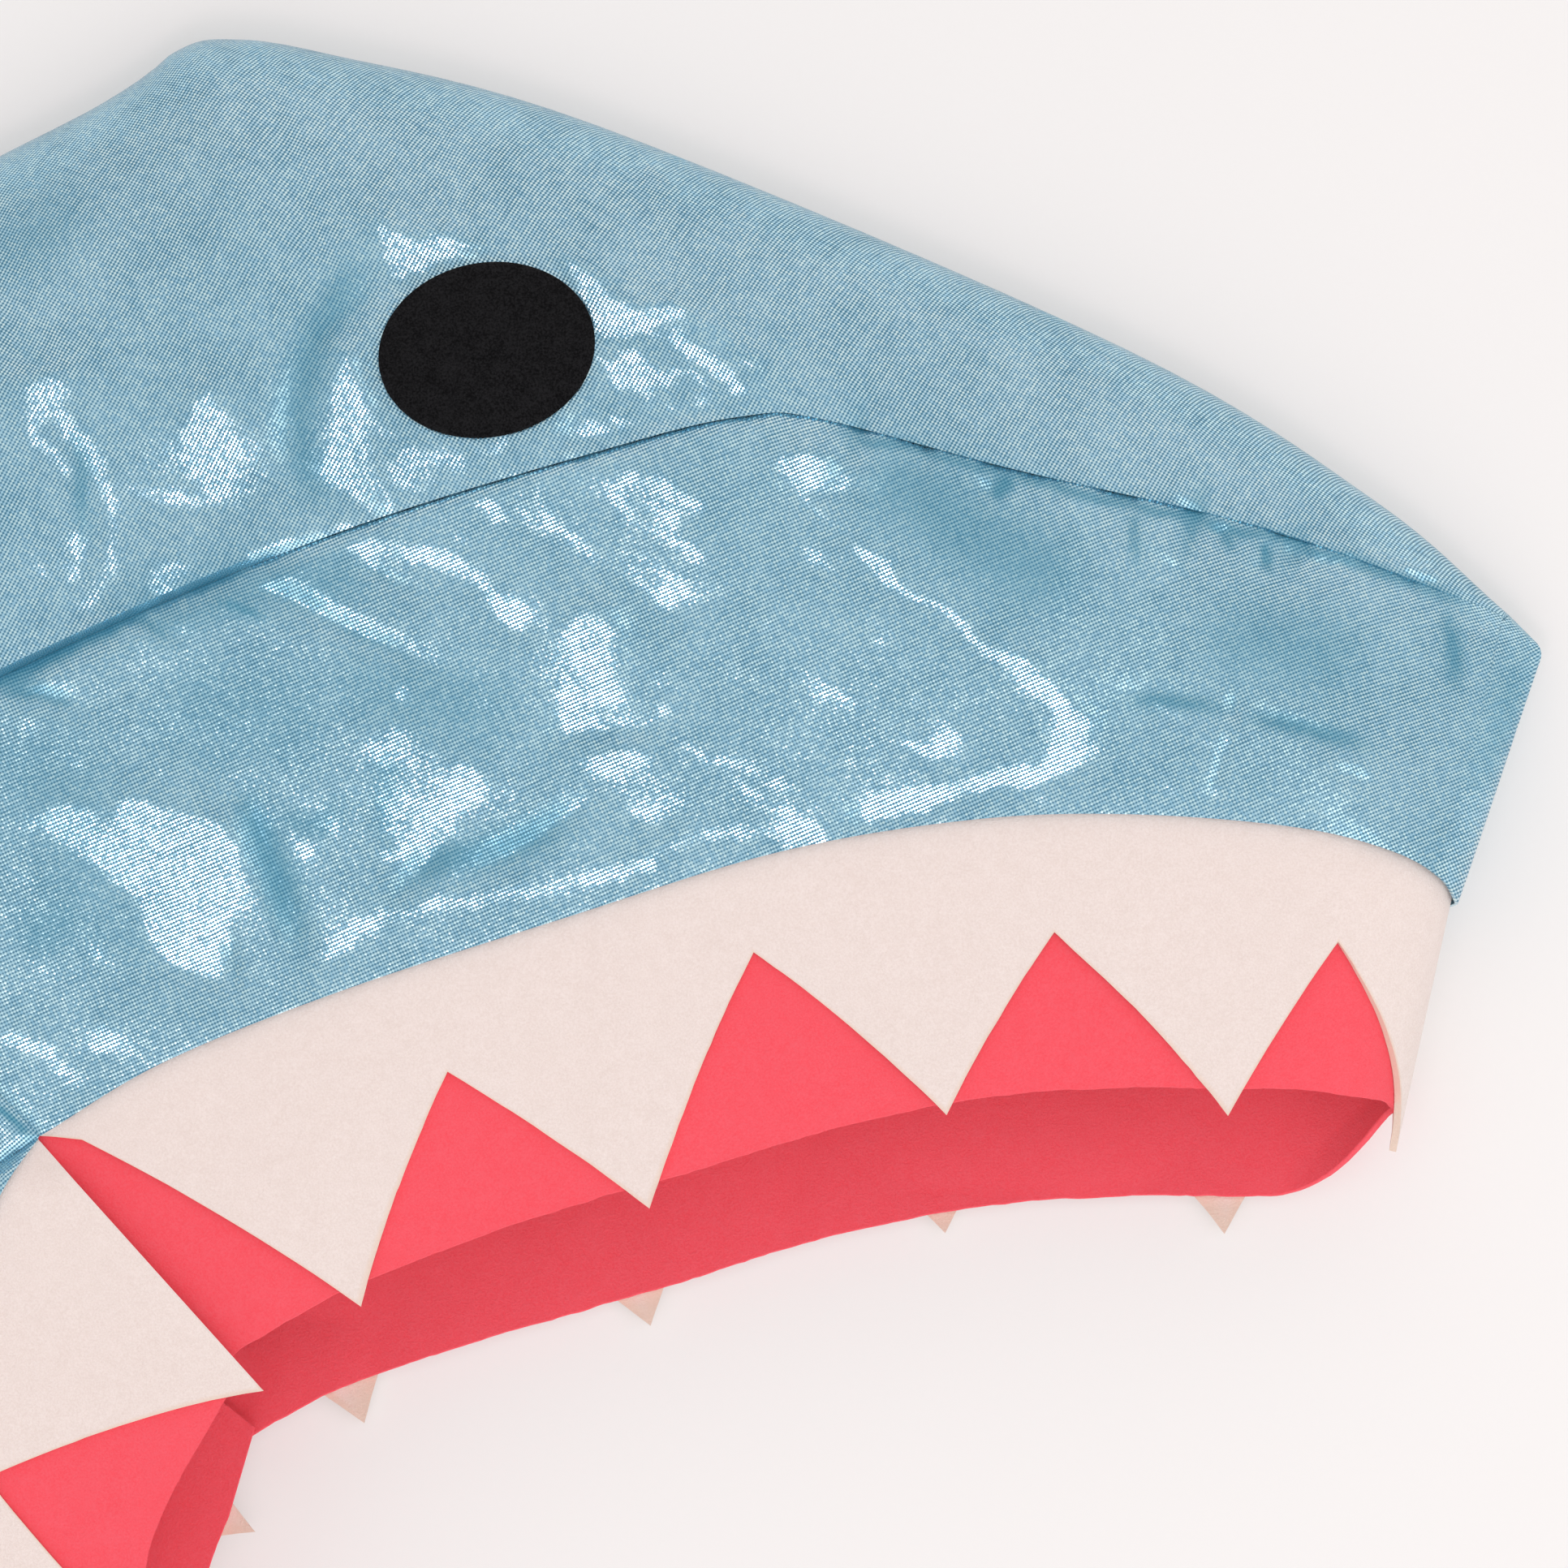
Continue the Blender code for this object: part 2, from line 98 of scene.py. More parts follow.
# Sewing lines of one half, from the neck towards the nose
RIDGE = [(-157, -56), (-152, -8), (-117, 91), (-48, 169), (13, 205.6), (26, 215), (36, 217.3),
         (56, 214.4), (110, 200), (214, 156), (264, 125.6), (290.5, 103)]
CROWN_SEAM = [(-141, -68), (-125, -15), (-60, 62), (-8, 90.4), (56, 118), (113.6, 136), (139, 142),
              (154, 141.4), (192, 131.5), (241.6, 120), (284.8, 104.6), (288.8, 101.8)]
SNOUT_SEAM_START = (-60, 62)
UPPER_LIP = [(0, 0), (24, 14.4), (59, 28.5), (104, 43.2), (145.6, 56), (184, 62.4), (216, 63.4),
             (248, 60.8), (267, 56), (276.5, 50.6), (280, 45.6)]
LOWER_LIP = [(0, 0), (-8, -12), (-19, -38), (-26, -75), (-27, -115), (-22, -155)]
NOSE_TIP = (297.5, 96.0)
NOSE_SHARE = 0.983
NOSE_COLUMNS = 12
TIP_RADIUS = 3.5
CHEEK_SEAM_END = (-119.5, -83.5)
CHEEK_CORNER_TURN = 80.0
CHEEK_SEAM_ANGLE = math.degrees(math.atan2(CHEEK_SEAM_END[1], CHEEK_SEAM_END[0]))

# Felt strips round the mouth
FELT_DEPTH = 58.0
FELT_DEPTH_FRONT = 43.0
MOUTH_DEPTHS = {
    RIGHT: [(0.0, 58), (0.12, 57.6), (0.3, 55.7), (0.5, 56), (0.77, 54.3), (0.88, 52), (0.95, 49), (1.0, 43)],
    LEFT: [(0.0, 53.5), (0.5, 53.8), (0.7, 53), (0.8, 51.8), (0.88, 50), (0.95, 48), (1.0, 43)],
}
FELT_TUCK = 5.0
FAR_JAW_TURN = -5.0
# Toothed edges: the run along the lip and the depth of each bend, tip and notch
UPPER_TEETH = [(5.7, 5.4), (30, 62.1), (77, 22.7), (105, 60.5), (146.5, 18.2), (181, 57.7), (210, 23.7),
               (249.5, 58.4), (271, 21)]
FRONT_TOOTH = 51.0
LOWER_TEETH = [(28, 64), (68, 15), (106, 64), (131, 18)]
LOWER_SLANT = {RIGHT: 9.0, LEFT: 2.0}
SLANT_RUN = 10.0
HANG_CORNER = -47.0
HANG_FRONT = -102.4
LOWER_HANG_CORNER = -28.8
LOWER_HANG_END = -12.0
LOWER_HANG_POWER = 0.6
LOWER_FELT_START = 0.8
LOWER_FELT_END = 132.0
LOWER_RUN_IN = 14.0
FAN_SHARE = 0.03
FAN_REACH = 53.7
FAN_TURN = 135.0
FAN_ANGLE = {RIGHT: -52.0, LEFT: -39.0}
CORNER_WRAP = 15.0
WRAP_PER_MM = 5.0
STRIP_ROWS = 30
SNIP_INSET = 0.4
FELT_WAVE = 0.25
FELT_WAVE_LENGTH = 34.0
FELT_WAVE_ROWS = 12
FELT_BEVEL = 0.3
EYE_BEVEL = 0.45

# Eyes and linings
EYE_CENTRE = (88.0, 155.0)
EYE_LENGTH = 43.0
EYE_HEIGHT = 34.5
EYE_TILT = 12.0
EYE_SINK = 0.1
EYE_STEPS = 96
EYE_RINGS = 22
LINING_INSET = 10.0
LINING_NECK = 1.0
WADDING_LIP = 4.0
WADDING_NECK = 6.0
FACING_WIDTH = 20.0
FACING_STOP = 50.0
CORNER_CLEARANCE = 0.3
THROAT_START = 0.6

# Wrinkles: a facet is a patch of cloth that lies at the slope which mirrors the small light
GRID = 0.9
GRID_LOW = (-170.0, -170.0)
GRID_HIGH = (308.0, 228.0)
GLINT_SLOPE = (-0.041, -0.153)
FACET_EDGE = 0.6
GLINT_EDGE = 2.0
CREASE_WARP = 0.4
# Facets: share of the glint's slope, and corners
PATCHES = [
    (0.9, [(68, 180), (80, 178), (84, 174), (72, 168), (68, 163)]),
    (1.0, [(59.5, 156), (63, 155), (64, 144), (64, 134), (68, 128), (66, 125), (61, 127), (57.5, 132)]),
    (0.55, [(62, 126), (70, 133), (84, 136), (98, 140), (84, 130), (66, 121)]),
    (1.0, [(104, 172), (110, 168), (116, 164.5), (124, 164), (127, 161), (117, 158.5), (111, 157)]),
    (0.5, [(111, 157), (127, 160), (134, 158), (140, 152), (139, 145), (112, 138), (104, 139), (110, 148)]),
    (1.0, [(28, 143), (33, 146), (37, 139), (40, 131), (38, 126), (34, 125), (31, 133)]),
    (1.0, [(-6, 149), (2, 152), (6, 149), (3, 142), (-2, 138), (-4, 144)]),
    (1.0, [(21, 107), (24, 114), (28, 112), (25, 106)]),
    (0.33, [(84, 128), (100, 131), (120, 131), (131, 128), (131, 106), (124, 103), (114, 110), (100, 118)]),
    (0.65, [(102, 97), (106, 104), (111, 104), (114, 92), (117, 85), (125, 84.5), (124, 82.5), (104, 81)]),
    (0.6, [(105, 76), (112, 76), (117, 78), (122, 72), (125, 64), (122, 61), (117, 66), (112, 71),
           (106, 72)]),
    (0.55, [(66, 79), (70, 81), (76, 75), (80, 68), (84, 72), (88, 66), (85, 61), (80, 62), (71, 54),
           (69, 62)]),
    (0.75, [(-1, 63), (6, 66), (11, 61), (16, 66), (26, 64), (35, 63), (40, 56), (40, 48), (36, 40),
           (35, 30),
           (27, 33), (22, 38), (18, 48), (10, 54), (-1, 61)]),
    (1.0, [(12, 19), (14, 21.5), (16.5, 19), (14, 16.5)]),
    (1.0, [(146, 132), (150, 134), (162, 131.5), (161, 128), (152, 128), (148, 127)]),
    (1.0, [(148.5, 129.5), (163.5, 115.5), (182.5, 99.8), (193.5, 93.6), (201.5, 88.2), (209, 82.5),
           (207.5, 77),
           (200, 74.5), (199, 78), (198.5, 84), (192, 90.4), (181.4, 98.8), (162.8, 114.6), (148, 129)]),
    (1.0, [(229, 124), (234, 122.8), (235, 121), (230, 121.8)]),
    (1.0, [(248, 117), (258, 113.8), (258.5, 111.6), (248.5, 114.6)]),
    (1.0, [(268, 112.6), (275, 109.8), (275, 108), (268, 110.6)]),
    (0.7, [(169, 80), (174, 78), (178, 77), (178, 75), (174, 75.6)]),
    (0.08, [(150, 124), (162, 112), (180, 96), (196, 86), (196, 76), (182, 70), (140, 62), (128, 66),
           (134, 100)]),
]
# Narrow facets: share of the glint's slope, line and half width
CREASES = [
    (1.0, [(206, 77), (200, 72.5), (190, 70), (181, 67.5), (171, 66.5), (163, 63.5)], 1.7),
    (0.6, [(56, 36), (62, 40), (75, 45), (88, 46), (104, 49), (120, 54), (133, 60), (152, 61)], 1.3),
    (1.0, [(61, 118), (75, 115), (86, 110), (94, 102)], 1.7),
    (0.8, [(18, 128), (30, 124.5), (41, 128)], 1.1),
    (0.9, [(4, 141), (11, 133), (14.5, 124), (14, 112), (9, 104)], 1.7),
    (0.7, [(-1, 138), (5, 131), (8, 122), (6, 110)], 0.9),
    (0.7, [(-4, 20), (0, 18), (5, 13), (7, 10)], 1.0),
    (0.8, [(234.6, 80), (233, 73), (231.4, 67.5)], 0.3),
    (0.9, [(146.5, 131), (150, 126), (158, 119), (166, 112.4)], 0.6),
]
# Grooves: line, depth and half width
GROOVES = [
    ([(40, 67), (46, 53), (51, 40), (52, 31)], 1.3, 3.4), ([(37, 40), (38, 33), (39, 26)], 0.8, 1.4),
    ([(69, 45), (75, 52), (80, 58)], 0.9, 2.8), ([(83, 50), (92, 55), (100, 60), (110, 68)], 1.0, 3.2),
    ([(35, 110), (48, 106), (60, 100), (78, 92)], 1.2, 2.6), ([(61, 114), (68, 110), (75, 106)], 1.0, 1.8),
    ([(66.5, 178), (65, 167), (58, 160), (53, 154), (49.5, 142), (50.5, 131), (57, 121)], 1.1, 3.6),
    ([(-8, 88), (0, 87), (8, 84)], 1.2, 2.4), ([(16, 103), (27, 98)], 0.8, 1.6),
    ([(211, 88.5), (222, 87.5), (232, 86)], 0.3, 2.0), ([(238, 83.5), (248, 81), (259, 77)], 0.3, 2.0),
    ([(235.5, 87), (235, 82)], 0.8, 1.2), ([(234.5, 81), (231, 67)], 0.5, 0.7),
    ([(278, 105), (280, 97), (281, 88)], 0.8, 1.4), ([(190, 131), (187, 126)], 0.9, 1.8),
    ([(233, 121), (234, 118)], 0.7, 1.3), ([(242, 118), (241.5, 111)], 0.9, 1.3),
    ([(9, 129), (10, 120), (9, 112)], 0.8, 1.6),
]
# Painted shade on the shaded sides of folds, drawn as dimmer silver and deeper blue: strength, line and half
# width
PAINTED_SHADES = [
    (0.55, [(63, 175), (58, 164), (53.5, 153), (51.5, 142), (53, 133), (58, 123)], 4.2),
    (0.28, [(-8, 84), (6, 60), (8, 30)], 13.0), (0.28, [(20, 88), (40, 84), (60, 78)], 13.0),
    (0.44, [(14, 98), (26, 104), (40, 108), (56, 109), (66, 110)], 7.0),
    (0.88, [(33, 107.5), (40, 104), (46, 101)], 1.3), (0.75, [(18, 102), (26, 98)], 1.2),
    (0.75, [(-9, 88), (-2, 87.5), (4, 87)], 1.8), (0.62, [(7, 140), (8.5, 128), (8, 117)], 1.6),
    (0.81, [(39, 70), (45, 57), (49, 46), (51, 37)], 3.6), (0.5, [(46, 64), (54, 61), (61, 66)], 3.0),
    (0.65, [(70, 47), (75, 52), (84, 55), (98, 59.5), (106, 65)], 3.6),
    (0.44, [(67, 80), (68.5, 68), (69, 56)], 2.5),
    (0.31, [(52, 90), (68, 88), (84, 84), (96, 80)], 9.0), (0.44, [(-6, 36), (4, 42), (12, 40)], 7.0),
    (0.5, [(160, 133), (174, 126), (190, 115), (206, 106)], 9.0),
    (1.0, [(192, 131), (190, 128), (187, 124)], 2.0),
    (0.56, [(215, 126), (216.5, 118), (216.5, 111)], 1.4), (0.75, [(233, 122), (236, 116)], 1.4),
    (1.0, [(242.4, 117), (243, 111)], 1.2), (0.75, [(277.5, 105), (279.5, 97), (280, 88)], 1.9),
    (0.69, [(213, 87), (224, 86.3), (235, 85)], 1.8), (0.69, [(237, 83.5), (252, 80), (263, 75.5)], 1.8),
    (0.38, [(226, 98), (246, 97), (264, 92)], 9.0), (0.38, [(294, 98), (290, 84), (284, 66)], 5.0),
    (0.69, [(154, 140), (172, 135.4), (192, 130), (216, 124.6), (241, 118.6), (262, 112),
           (284, 103.6)], 1.5),
    (1.0, [(-11, 8), (-5, 3), (-0.6, -0.8)], 0.9), (0.31, [(-12, 168), (0, 180), (10, 190)], 9.0),
]
LOOSE_WEIGHT = 0.03
BREAK_WAVE = 9.0
BREAK_STRETCH = (0.7, 1.0)
BREAK_WIDTH = 0.07
BREAK_DIM = 0.35
PULL = 0.0006
RIDGE_HOLD = (5, 2)
SEAM_HOLD = (1.5, 0)
EYE_HOLD = 1.02
EYE_RADIUS = 15.0
EYE_CALM = (1.0, 1.25)
FACET_CALM = 0.6
CRUMPLE_EDGE = (3, 25)
LEFT_EDGE = (2, 22)
STREAK_ANGLE = -35.0
STREAK_STRETCH = 0.4
GLINT_SHARE = 1.08
GLINT_SPLIT = 0.22
MOST_LEAN = 0.45

# Soft noises: height, wave and seed of each layer
NOISE_CELLS = 1024
NOISE_SHIFT = 500
WARP = [[(2.4, 9, 3), (0.6, 2.25, 5)], [(2.4, 9, 4), (0.6, 2.25, 6)]]
CRUMPLE = [(0.42, 31, 11), (0.09, 13, 12), (0.025, 6, 13)]
SPECKLE = [(0.3, 1.6, 15), (0.4, 4.0, 16)]
LEFT_CRUMPLE = [(0.9, 26, 21)]
SNIPS = [(0.14, 9, 41), (0.1, 2.2, 42)]

# Seams: where along x the crown seam's back, front and nose begin and end, and what it does there
SEAM_BACK = (75, 30)
SEAM_FRONT = (120, 170)
SEAM_NOSE = (292, 270)
SEAM_FURROW = 1.2
SEAM_FURROW_WIDTH = 2.2
CHEEK_FURROW = 0.84
FRONT_EASE = 0.6
BACK_WIDENING = 1.2
CROWN_SIDE_WIDTH = 0.6
CROWN_SIDE_DEPTH = 0.1
VALLEY_POWER = 1.4
# Puckers along it: height, wave, reach and seed
PUCKERS = [(0.6, 5, 10, 31), (0.48, 15.5, 16, 32)]
PLEAT_DEPTH = 1.56
PLEAT_WAVE = 4.5
PLEAT_START = 0.1
PLEAT_REACH = 7.0
PLEAT_CROWN_SIDE = 0.35
DETAIL_EDGE = (1, 8)
LEFT_RELIEF = 0.5
GROOVE_SPREAD = 1.6
GROOVE_TAPER = 0.3
GROOVE_END = 0.25
# Painted shade in grooves and seam furrows grows with their depth
FOLD_SHADE_DEPTH = 1.5
FOLD_SHADE_START = 0.3
SHADE_REACH = 2.2
SHADE_STEPS = 6
SHADE_TAPER = 12.0
SHADE_TAPER_SHARE = 0.4
SHADE_END = -0.3
HEM_ROLL = 0.03
HEM_WIDTH = 1.3

# Weave and grain
# How far from a felt strip's free edge the tan edge tint reaches; on the left half it is wide, as painted
# shade over the far teeth tips
EDGE_TAN_AND_SHADE_WIDTH = {RIGHT: 0.9, LEFT: 12.0}
RIB = 0.742
PICK = 0.60
LEAN = 0.045
SLUB = 0.4
THREAD_RELIEF = 0.004
FELT_RELIEF = 0.22
LINING_RELIEF = 0.03
LINING_PITCH = 0.3
CROWN_GRAIN = -29.0
SNOUT_GRAIN = -66.0
CHEEK_GRAIN = -50.0


# Curves on the pattern plane

def smooth_curve(points, per_span=8):
    """A Catmull-Rom curve through the points, as a dense polyline."""
    p = np.array(points, float)
    p = np.vstack([2 * p[0] - p[1], p, 2 * p[-1] - p[-2]])
    t = np.linspace(0, 1, per_span, endpoint=False)[:, None]
    spans = []
    for a, b, c, d in zip(p, p[1:], p[2:], p[3:]):
        spans.append(0.5 * (2 * b + (c - a) * t + (2 * a - 5 * b + 4 * c - d) * t**2
                            + (3 * b - a - 3 * c + d) * t**3))
    return np.vstack([*spans, p[-2]])


def lengths(line):
    """Running length at each point of a polyline."""
    return np.concatenate([[0], np.cumsum(norm(np.diff(line, axis=0), axis=1))])


def at_lengths(line, wanted):
    """Points of a polyline at these running lengths."""
    run = lengths(line)
    return np.stack([np.interp(wanted, run, line[:, k]) for k in range(line.shape[1])], axis=-1)


def at_shares(line, shares):
    return at_lengths(line, np.asarray(shares) * lengths(line)[-1])


def ease(low, high, value):
    """0 before low, 1 after high, and an easy change between them. Low may be the larger."""
    t = np.clip((np.asarray(value, float) - low) / (high - low), 0, 1)
    return t * t * (3 - 2 * t)


def direction(degrees):
    a = np.radians(degrees)
    return np.stack([np.cos(a), np.sin(a)], axis=-1)


def unit(vectors):
    return vectors / norm(vectors, axis=-1, keepdims=True)


def turned(x, y, degrees):
    """Lengths along and across a direction."""
    c, s = direction(degrees)
    return x * c + y * s, y * c - x * s


ridge = smooth_curve(RIDGE)
ridge_edge = np.vstack([ridge, NOSE_TIP])
crown_seam = smooth_curve(CROWN_SEAM)
upper_lip = smooth_curve(UPPER_LIP)
lower_lip = smooth_curve(LOWER_LIP)
lip_front = upper_lip[-1]
felt_front_end = lip_front + 2 * FELT_DEPTH_FRONT * direction(HANG_FRONT)
front_edge = np.array([NOSE_TIP, lip_front, felt_front_end])


def nearest_on(line, p):
    """For each point: its distance from a line, the inward normal there, and the running length."""
    a, step = line[:-1], np.diff(line, axis=0)
    size = norm(step, axis=1)
    run = step / size[:, None]
    corner = unit(np.vstack([run[0], run[1:] + run[:-1], run[-1]]))
    start = lengths(line)[:-1]
    parts = []
    for piece in np.array_split(p, max(1, len(p) // 8000)):
        to_p = piece[:, None, :] - a
        share = np.clip((to_p * step).sum(-1) / size**2, 0, 1)
        gap = norm(to_p - share[..., None] * step, axis=-1)
        k = gap.argmin(1)
        every = np.arange(len(piece))
        along = share[every, k]
        s = unit(corner[k] * (1 - along)[:, None] + corner[k + 1] * along[:, None])
        parts.append(np.column_stack([gap[every, k], s[:, 1], -s[:, 0], start[k] + along * size[k]]))
    found = np.vstack(parts)
    return found[:, 0], found[:, 1:3], found[:, 3]


def distance(line, p):
    return nearest_on(line, p)[0]


def past(line, p):
    """How far each point lies past a line, on the side of its normal, and the running length there."""
    _, normal, run = nearest_on(line, p)
    return ((p - at_lengths(line, run)) * normal).sum(-1), run


# The two swelling surfaces

def roll(share):
    """Quarter of an ellipse: the height of a rolled edge at this share of its width."""
    return np.sqrt(1 - (1 - np.clip(share, 0, 1))**2)


def front_share(p):
    """0 behind and above the nose, 1 at the lip's front, where the two halves stand apart."""
    return (ease(NOSE_TIP[1], lip_front[1], p[:, 1])
            * ease(NOSE_TIP[0] - 2 * RIDGE_ROLL, lip_front[0] - LIP_ROLL, p[:, 0]))


def in_eye(p, centre):
    """Distance from the eye's centre as a share of its outline."""
    along, across = turned(*(p - centre).T, EYE_TILT)
    return np.hypot(along / (EYE_LENGTH / 2), across / (EYE_HEIGHT / 2))


def spread(p):
    """Where the left half lies: it is flat, so it reaches further from the ridge than the right."""
    below, _ = past(upper_lip, p)
    front_width = SPREAD_WIDTH + (FRONT_LOOP - SPREAD_WIDTH) * ease(0, FELT_DEPTH_FRONT, below)
    inside = np.minimum(distance(ridge_edge, p) / SPREAD_WIDTH, distance(front_edge, p) / front_width)
    share = 1 - (1 - np.clip(inside, 0, 1))**2
    return p + np.outer(share, (0, -UNDERSIDE_SPREAD))


def table_lift(p):
    """The left half lies on the table, but passes over the eye that is sewn under it."""
    return (FELT + GAP) * ease(*EYE_PASS, in_eye(p, spread(np.array([EYE_CENTRE]))[0]))


def drawn_in(p, depth):
    """The pattern point moved in from the ridge and the front, for a layer at this depth."""
    if depth == 0:
        return p
    for edge in (ridge_edge, front_edge):
        inside, normal, _ = nearest_on(edge, p)
        p = p + normal * (depth * np.clip(1 - inside / DRAW_WIDTH, 0, 1))[:, None]
    return p


def jaw_lift(p):
    """Full height along the lower lip and past it, easing to nothing towards the cheek seam."""
    behind = np.where(past(lower_lip, p)[0] > 0, distance(lower_lip, p), 0)
    from_corner = norm(p, axis=1)
    width = np.minimum(LIFT_WIDTH, LIFT_SLOPE * from_corner)
    start = ease(0, LIFT_START, from_corner)
    return JAW_LIFT * start * (1 - ease(0, 1, behind / np.maximum(width, GAP)))


def smooth_layer(p, depth, side, of_jaw):
    """Space points of a layer this deep under the outside of one half, before its wrinkles."""
    lift = jaw_lift(p) if of_jaw else 0.0
    if side == LEFT:
        p = spread(p)
    p = drawn_in(p, depth)
    from_ridge = distance(ridge_edge, p) - depth
    from_front = distance(front_edge, p) - depth
    front = front_share(p)
    edge = SEAM_HEIGHT + (MOUTH_HEIGHT - SEAM_HEIGHT) * front
    if side == RIGHT:
        edge = edge + GAP / 2
        flat = HEIGHT - depth
        front_roll = NOSE_ROLL + (LIP_ROLL - NOSE_ROLL) * front
        swell = roll(from_ridge / RIDGE_ROLL) * roll(from_front / front_roll)
    else:
        edge = edge - GAP / 2
        flat = table_lift(p) + depth
        swell = roll(from_ridge / TABLE_ROLL) * roll(from_front / LIP_ROLL)
    return np.column_stack([p, edge + (flat - edge) * swell + lift])


# Wrinkles

def in_cells(value, t):
    """Blend of the four corner values of each point's grid cell, at these shares of the cell."""
    top = value(0, 0) * (1 - t[..., 0]) + value(1, 0) * t[..., 0]
    bottom = value(0, 1) * (1 - t[..., 0]) + value(1, 1) * t[..., 0]
    return top * (1 - t[..., 1]) + bottom * t[..., 1]


def soft_noise(p, wave, seed):
    """Smooth random values from -1 to 1 over the pattern, with bumps about this far apart."""
    q = np.asarray(p, float) / wave + NOISE_SHIFT
    low = np.floor(q).astype(int)
    t = q - low
    t = t * t * t * (t * (6 * t - 15) + 10)
    table = np.random.default_rng(seed).uniform(-1, 1, (NOISE_CELLS, NOISE_CELLS))
    i, j = low[..., 0], low[..., 1]
    return in_cells(lambda a, b: table[(i + a) % NOISE_CELLS, (j + b) % NOISE_CELLS], t)


def layered_noise(p, layers, start=0.0):
    return sum((height * soft_noise(p, wave, seed) for height, wave, seed in layers), start)


def warped(p, share=1.0):
    """The pattern shifted a little here and there, so that facets get uneven outlines."""
    q = np.stack([layered_noise(p, layers, p[..., k]) for k, layers in enumerate(WARP)], axis=-1)
    return q if share == 1 else p + share * (q - p)


def depth_in(corners, p):
    """How far each point is inside a closed outline; less than 0 outside it."""
    line = np.array([*corners, corners[0]], float)
    x, y = p.T
    inside = np.zeros(len(p), bool)
    for (ax, ay), (bx, by) in zip(line, line[1:]):
        if ay != by:
            inside ^= ((ay > y) != (by > y)) & (x < ax + (y - ay) * (bx - ax) / (by - ay))
    return distance(line, p) * np.where(inside, 1, -1)


def close_to(points, p, margin):
    """Which of the points lie in the box round an outline, with this margin."""
    box = np.array(points, float)
    return ((p > box.min(0) - margin) & (p < box.max(0) + margin)).all(1)


def facet_mask(p, edge):
    """1 on the glinting facets, 0 off them, and between on those that only half face the light and
    across their edges."""
    q = warped(p)
    mask = np.zeros(len(p))
    for strength, corners in PATCHES:
        near = close_to(corners, q, 2 * edge)
        share = ease(-edge, edge, depth_in(corners, q[near]))
        mask[near] = np.maximum(mask[near], strength * share)
    q = warped(p, CREASE_WARP)
    for strength, line, wide in CREASES:
        near = close_to(line, q, wide + 2 * edge)
        share = ease(edge, -edge, distance(np.array(line, float), q[near]) - wide)
        mask[near] = np.maximum(mask[near], strength * share)
    return mask


def settle(slope_x, slope_y, weight, hold, rounds=260):
    """Heights whose slopes follow the wanted ones where the weight is high, and lie low where held."""
    weight_x = (weight[1:] + weight[:-1]) / 2
    weight_y = (weight[:, 1:] + weight[:, :-1]) / 2

    def spread_back(gx, gy):
        out = np.zeros_like(weight)
        out[1:] += gx
        out[:-1] -= gx
        out[:, 1:] += gy
        out[:, :-1] -= gy
        return out / GRID

    def pressed(h):
        flow_x, flow_y = weight_x * np.diff(h, axis=0) / GRID, weight_y * np.diff(h, axis=1) / GRID
        return spread_back(flow_x, flow_y) + hold * h

    mid_x = (slope_x[1:] + slope_x[:-1]) / 2
    mid_y = (slope_y[:, 1:] + slope_y[:, :-1]) / 2
    heights = np.zeros_like(weight)
    left_over = spread_back(weight_x * mid_x, weight_y * mid_y)
    step = left_over.copy()
    power = (left_over**2).sum()
    for _ in range(rounds):
        pushed = pressed(step)
        share = power / (step * pushed).sum()
        heights += share * step
        left_over -= share * pushed
        power, before = (left_over**2).sum(), power
        step = left_over + power / before * step
    return heights


def wrinkle_heights():
    """The right half's wrinkles on an even grid over the pattern: their height, and how far the weave
    still leans in the facets, along x and y."""
    xs = np.arange(GRID_LOW[0], GRID_HIGH[0], GRID)
    ys = np.arange(GRID_LOW[1], GRID_HIGH[1], GRID)
    p = np.stack(np.meshgrid(xs, ys, indexing="ij"), axis=-1)
    shape, p = p.shape[:2], p.reshape(-1, 2)
    base = smooth_layer(p, 0, RIGHT, False)[:, 2].reshape(shape)
    base_x, base_y = np.gradient(base, GRID)
    mask = facet_mask(p, FACET_EDGE).reshape(shape)
    slope_x = mask * (-GLINT_SLOPE[0] - base_x)
    slope_y = mask * (-GLINT_SLOPE[1] - base_y)
    breaks = np.abs(soft_noise(p * BREAK_STRETCH, BREAK_WAVE, 14))
    breaks = ease(BREAK_WIDTH, 0, breaks).reshape(shape)
    weight = LOOSE_WEIGHT + (1 - LOOSE_WEIGHT) * mask * (1 - breaks)
    edge = distance(ridge_edge, p)
    to_eye = np.maximum(in_eye(p, EYE_CENTRE) - EYE_HOLD, 0) * EYE_RADIUS
    inner = np.minimum(distance(crown_seam, p), to_eye)
    hold = PULL + ease(*RIDGE_HOLD, edge) + ease(*SEAM_HOLD, inner)
    heights = settle(slope_x, slope_y, weight, hold.reshape(shape))
    away = ease(*CRUMPLE_EDGE, np.minimum(edge, distance(front_edge, p))).reshape(shape)
    calm = ease(*EYE_CALM, in_eye(p, EYE_CENTRE)).reshape(shape)
    heights += layered_noise(p, CRUMPLE).reshape(shape) * away * calm * (1 - FACET_CALM * mask)
    slopes = np.gradient(base + heights, GRID)
    streaks = p @ np.column_stack([STREAK_STRETCH * direction(STREAK_ANGLE), direction(STREAK_ANGLE + 90)])
    speckle = layered_noise(streaks, SPECKLE, 0.5).reshape(shape)
    glints = facet_mask(p, GLINT_EDGE).reshape(shape) * (1 - BREAK_DIM * breaks)
    share = ease(-GLINT_SPLIT, GLINT_SPLIT, GLINT_SHARE * glints - speckle)
    leans = [share * np.clip(-glint - slope, -MOST_LEAN, MOST_LEAN)
             for glint, slope in zip(GLINT_SLOPE, slopes)]
    return heights, *leans


right_wrinkles, lean_x, lean_y = wrinkle_heights()


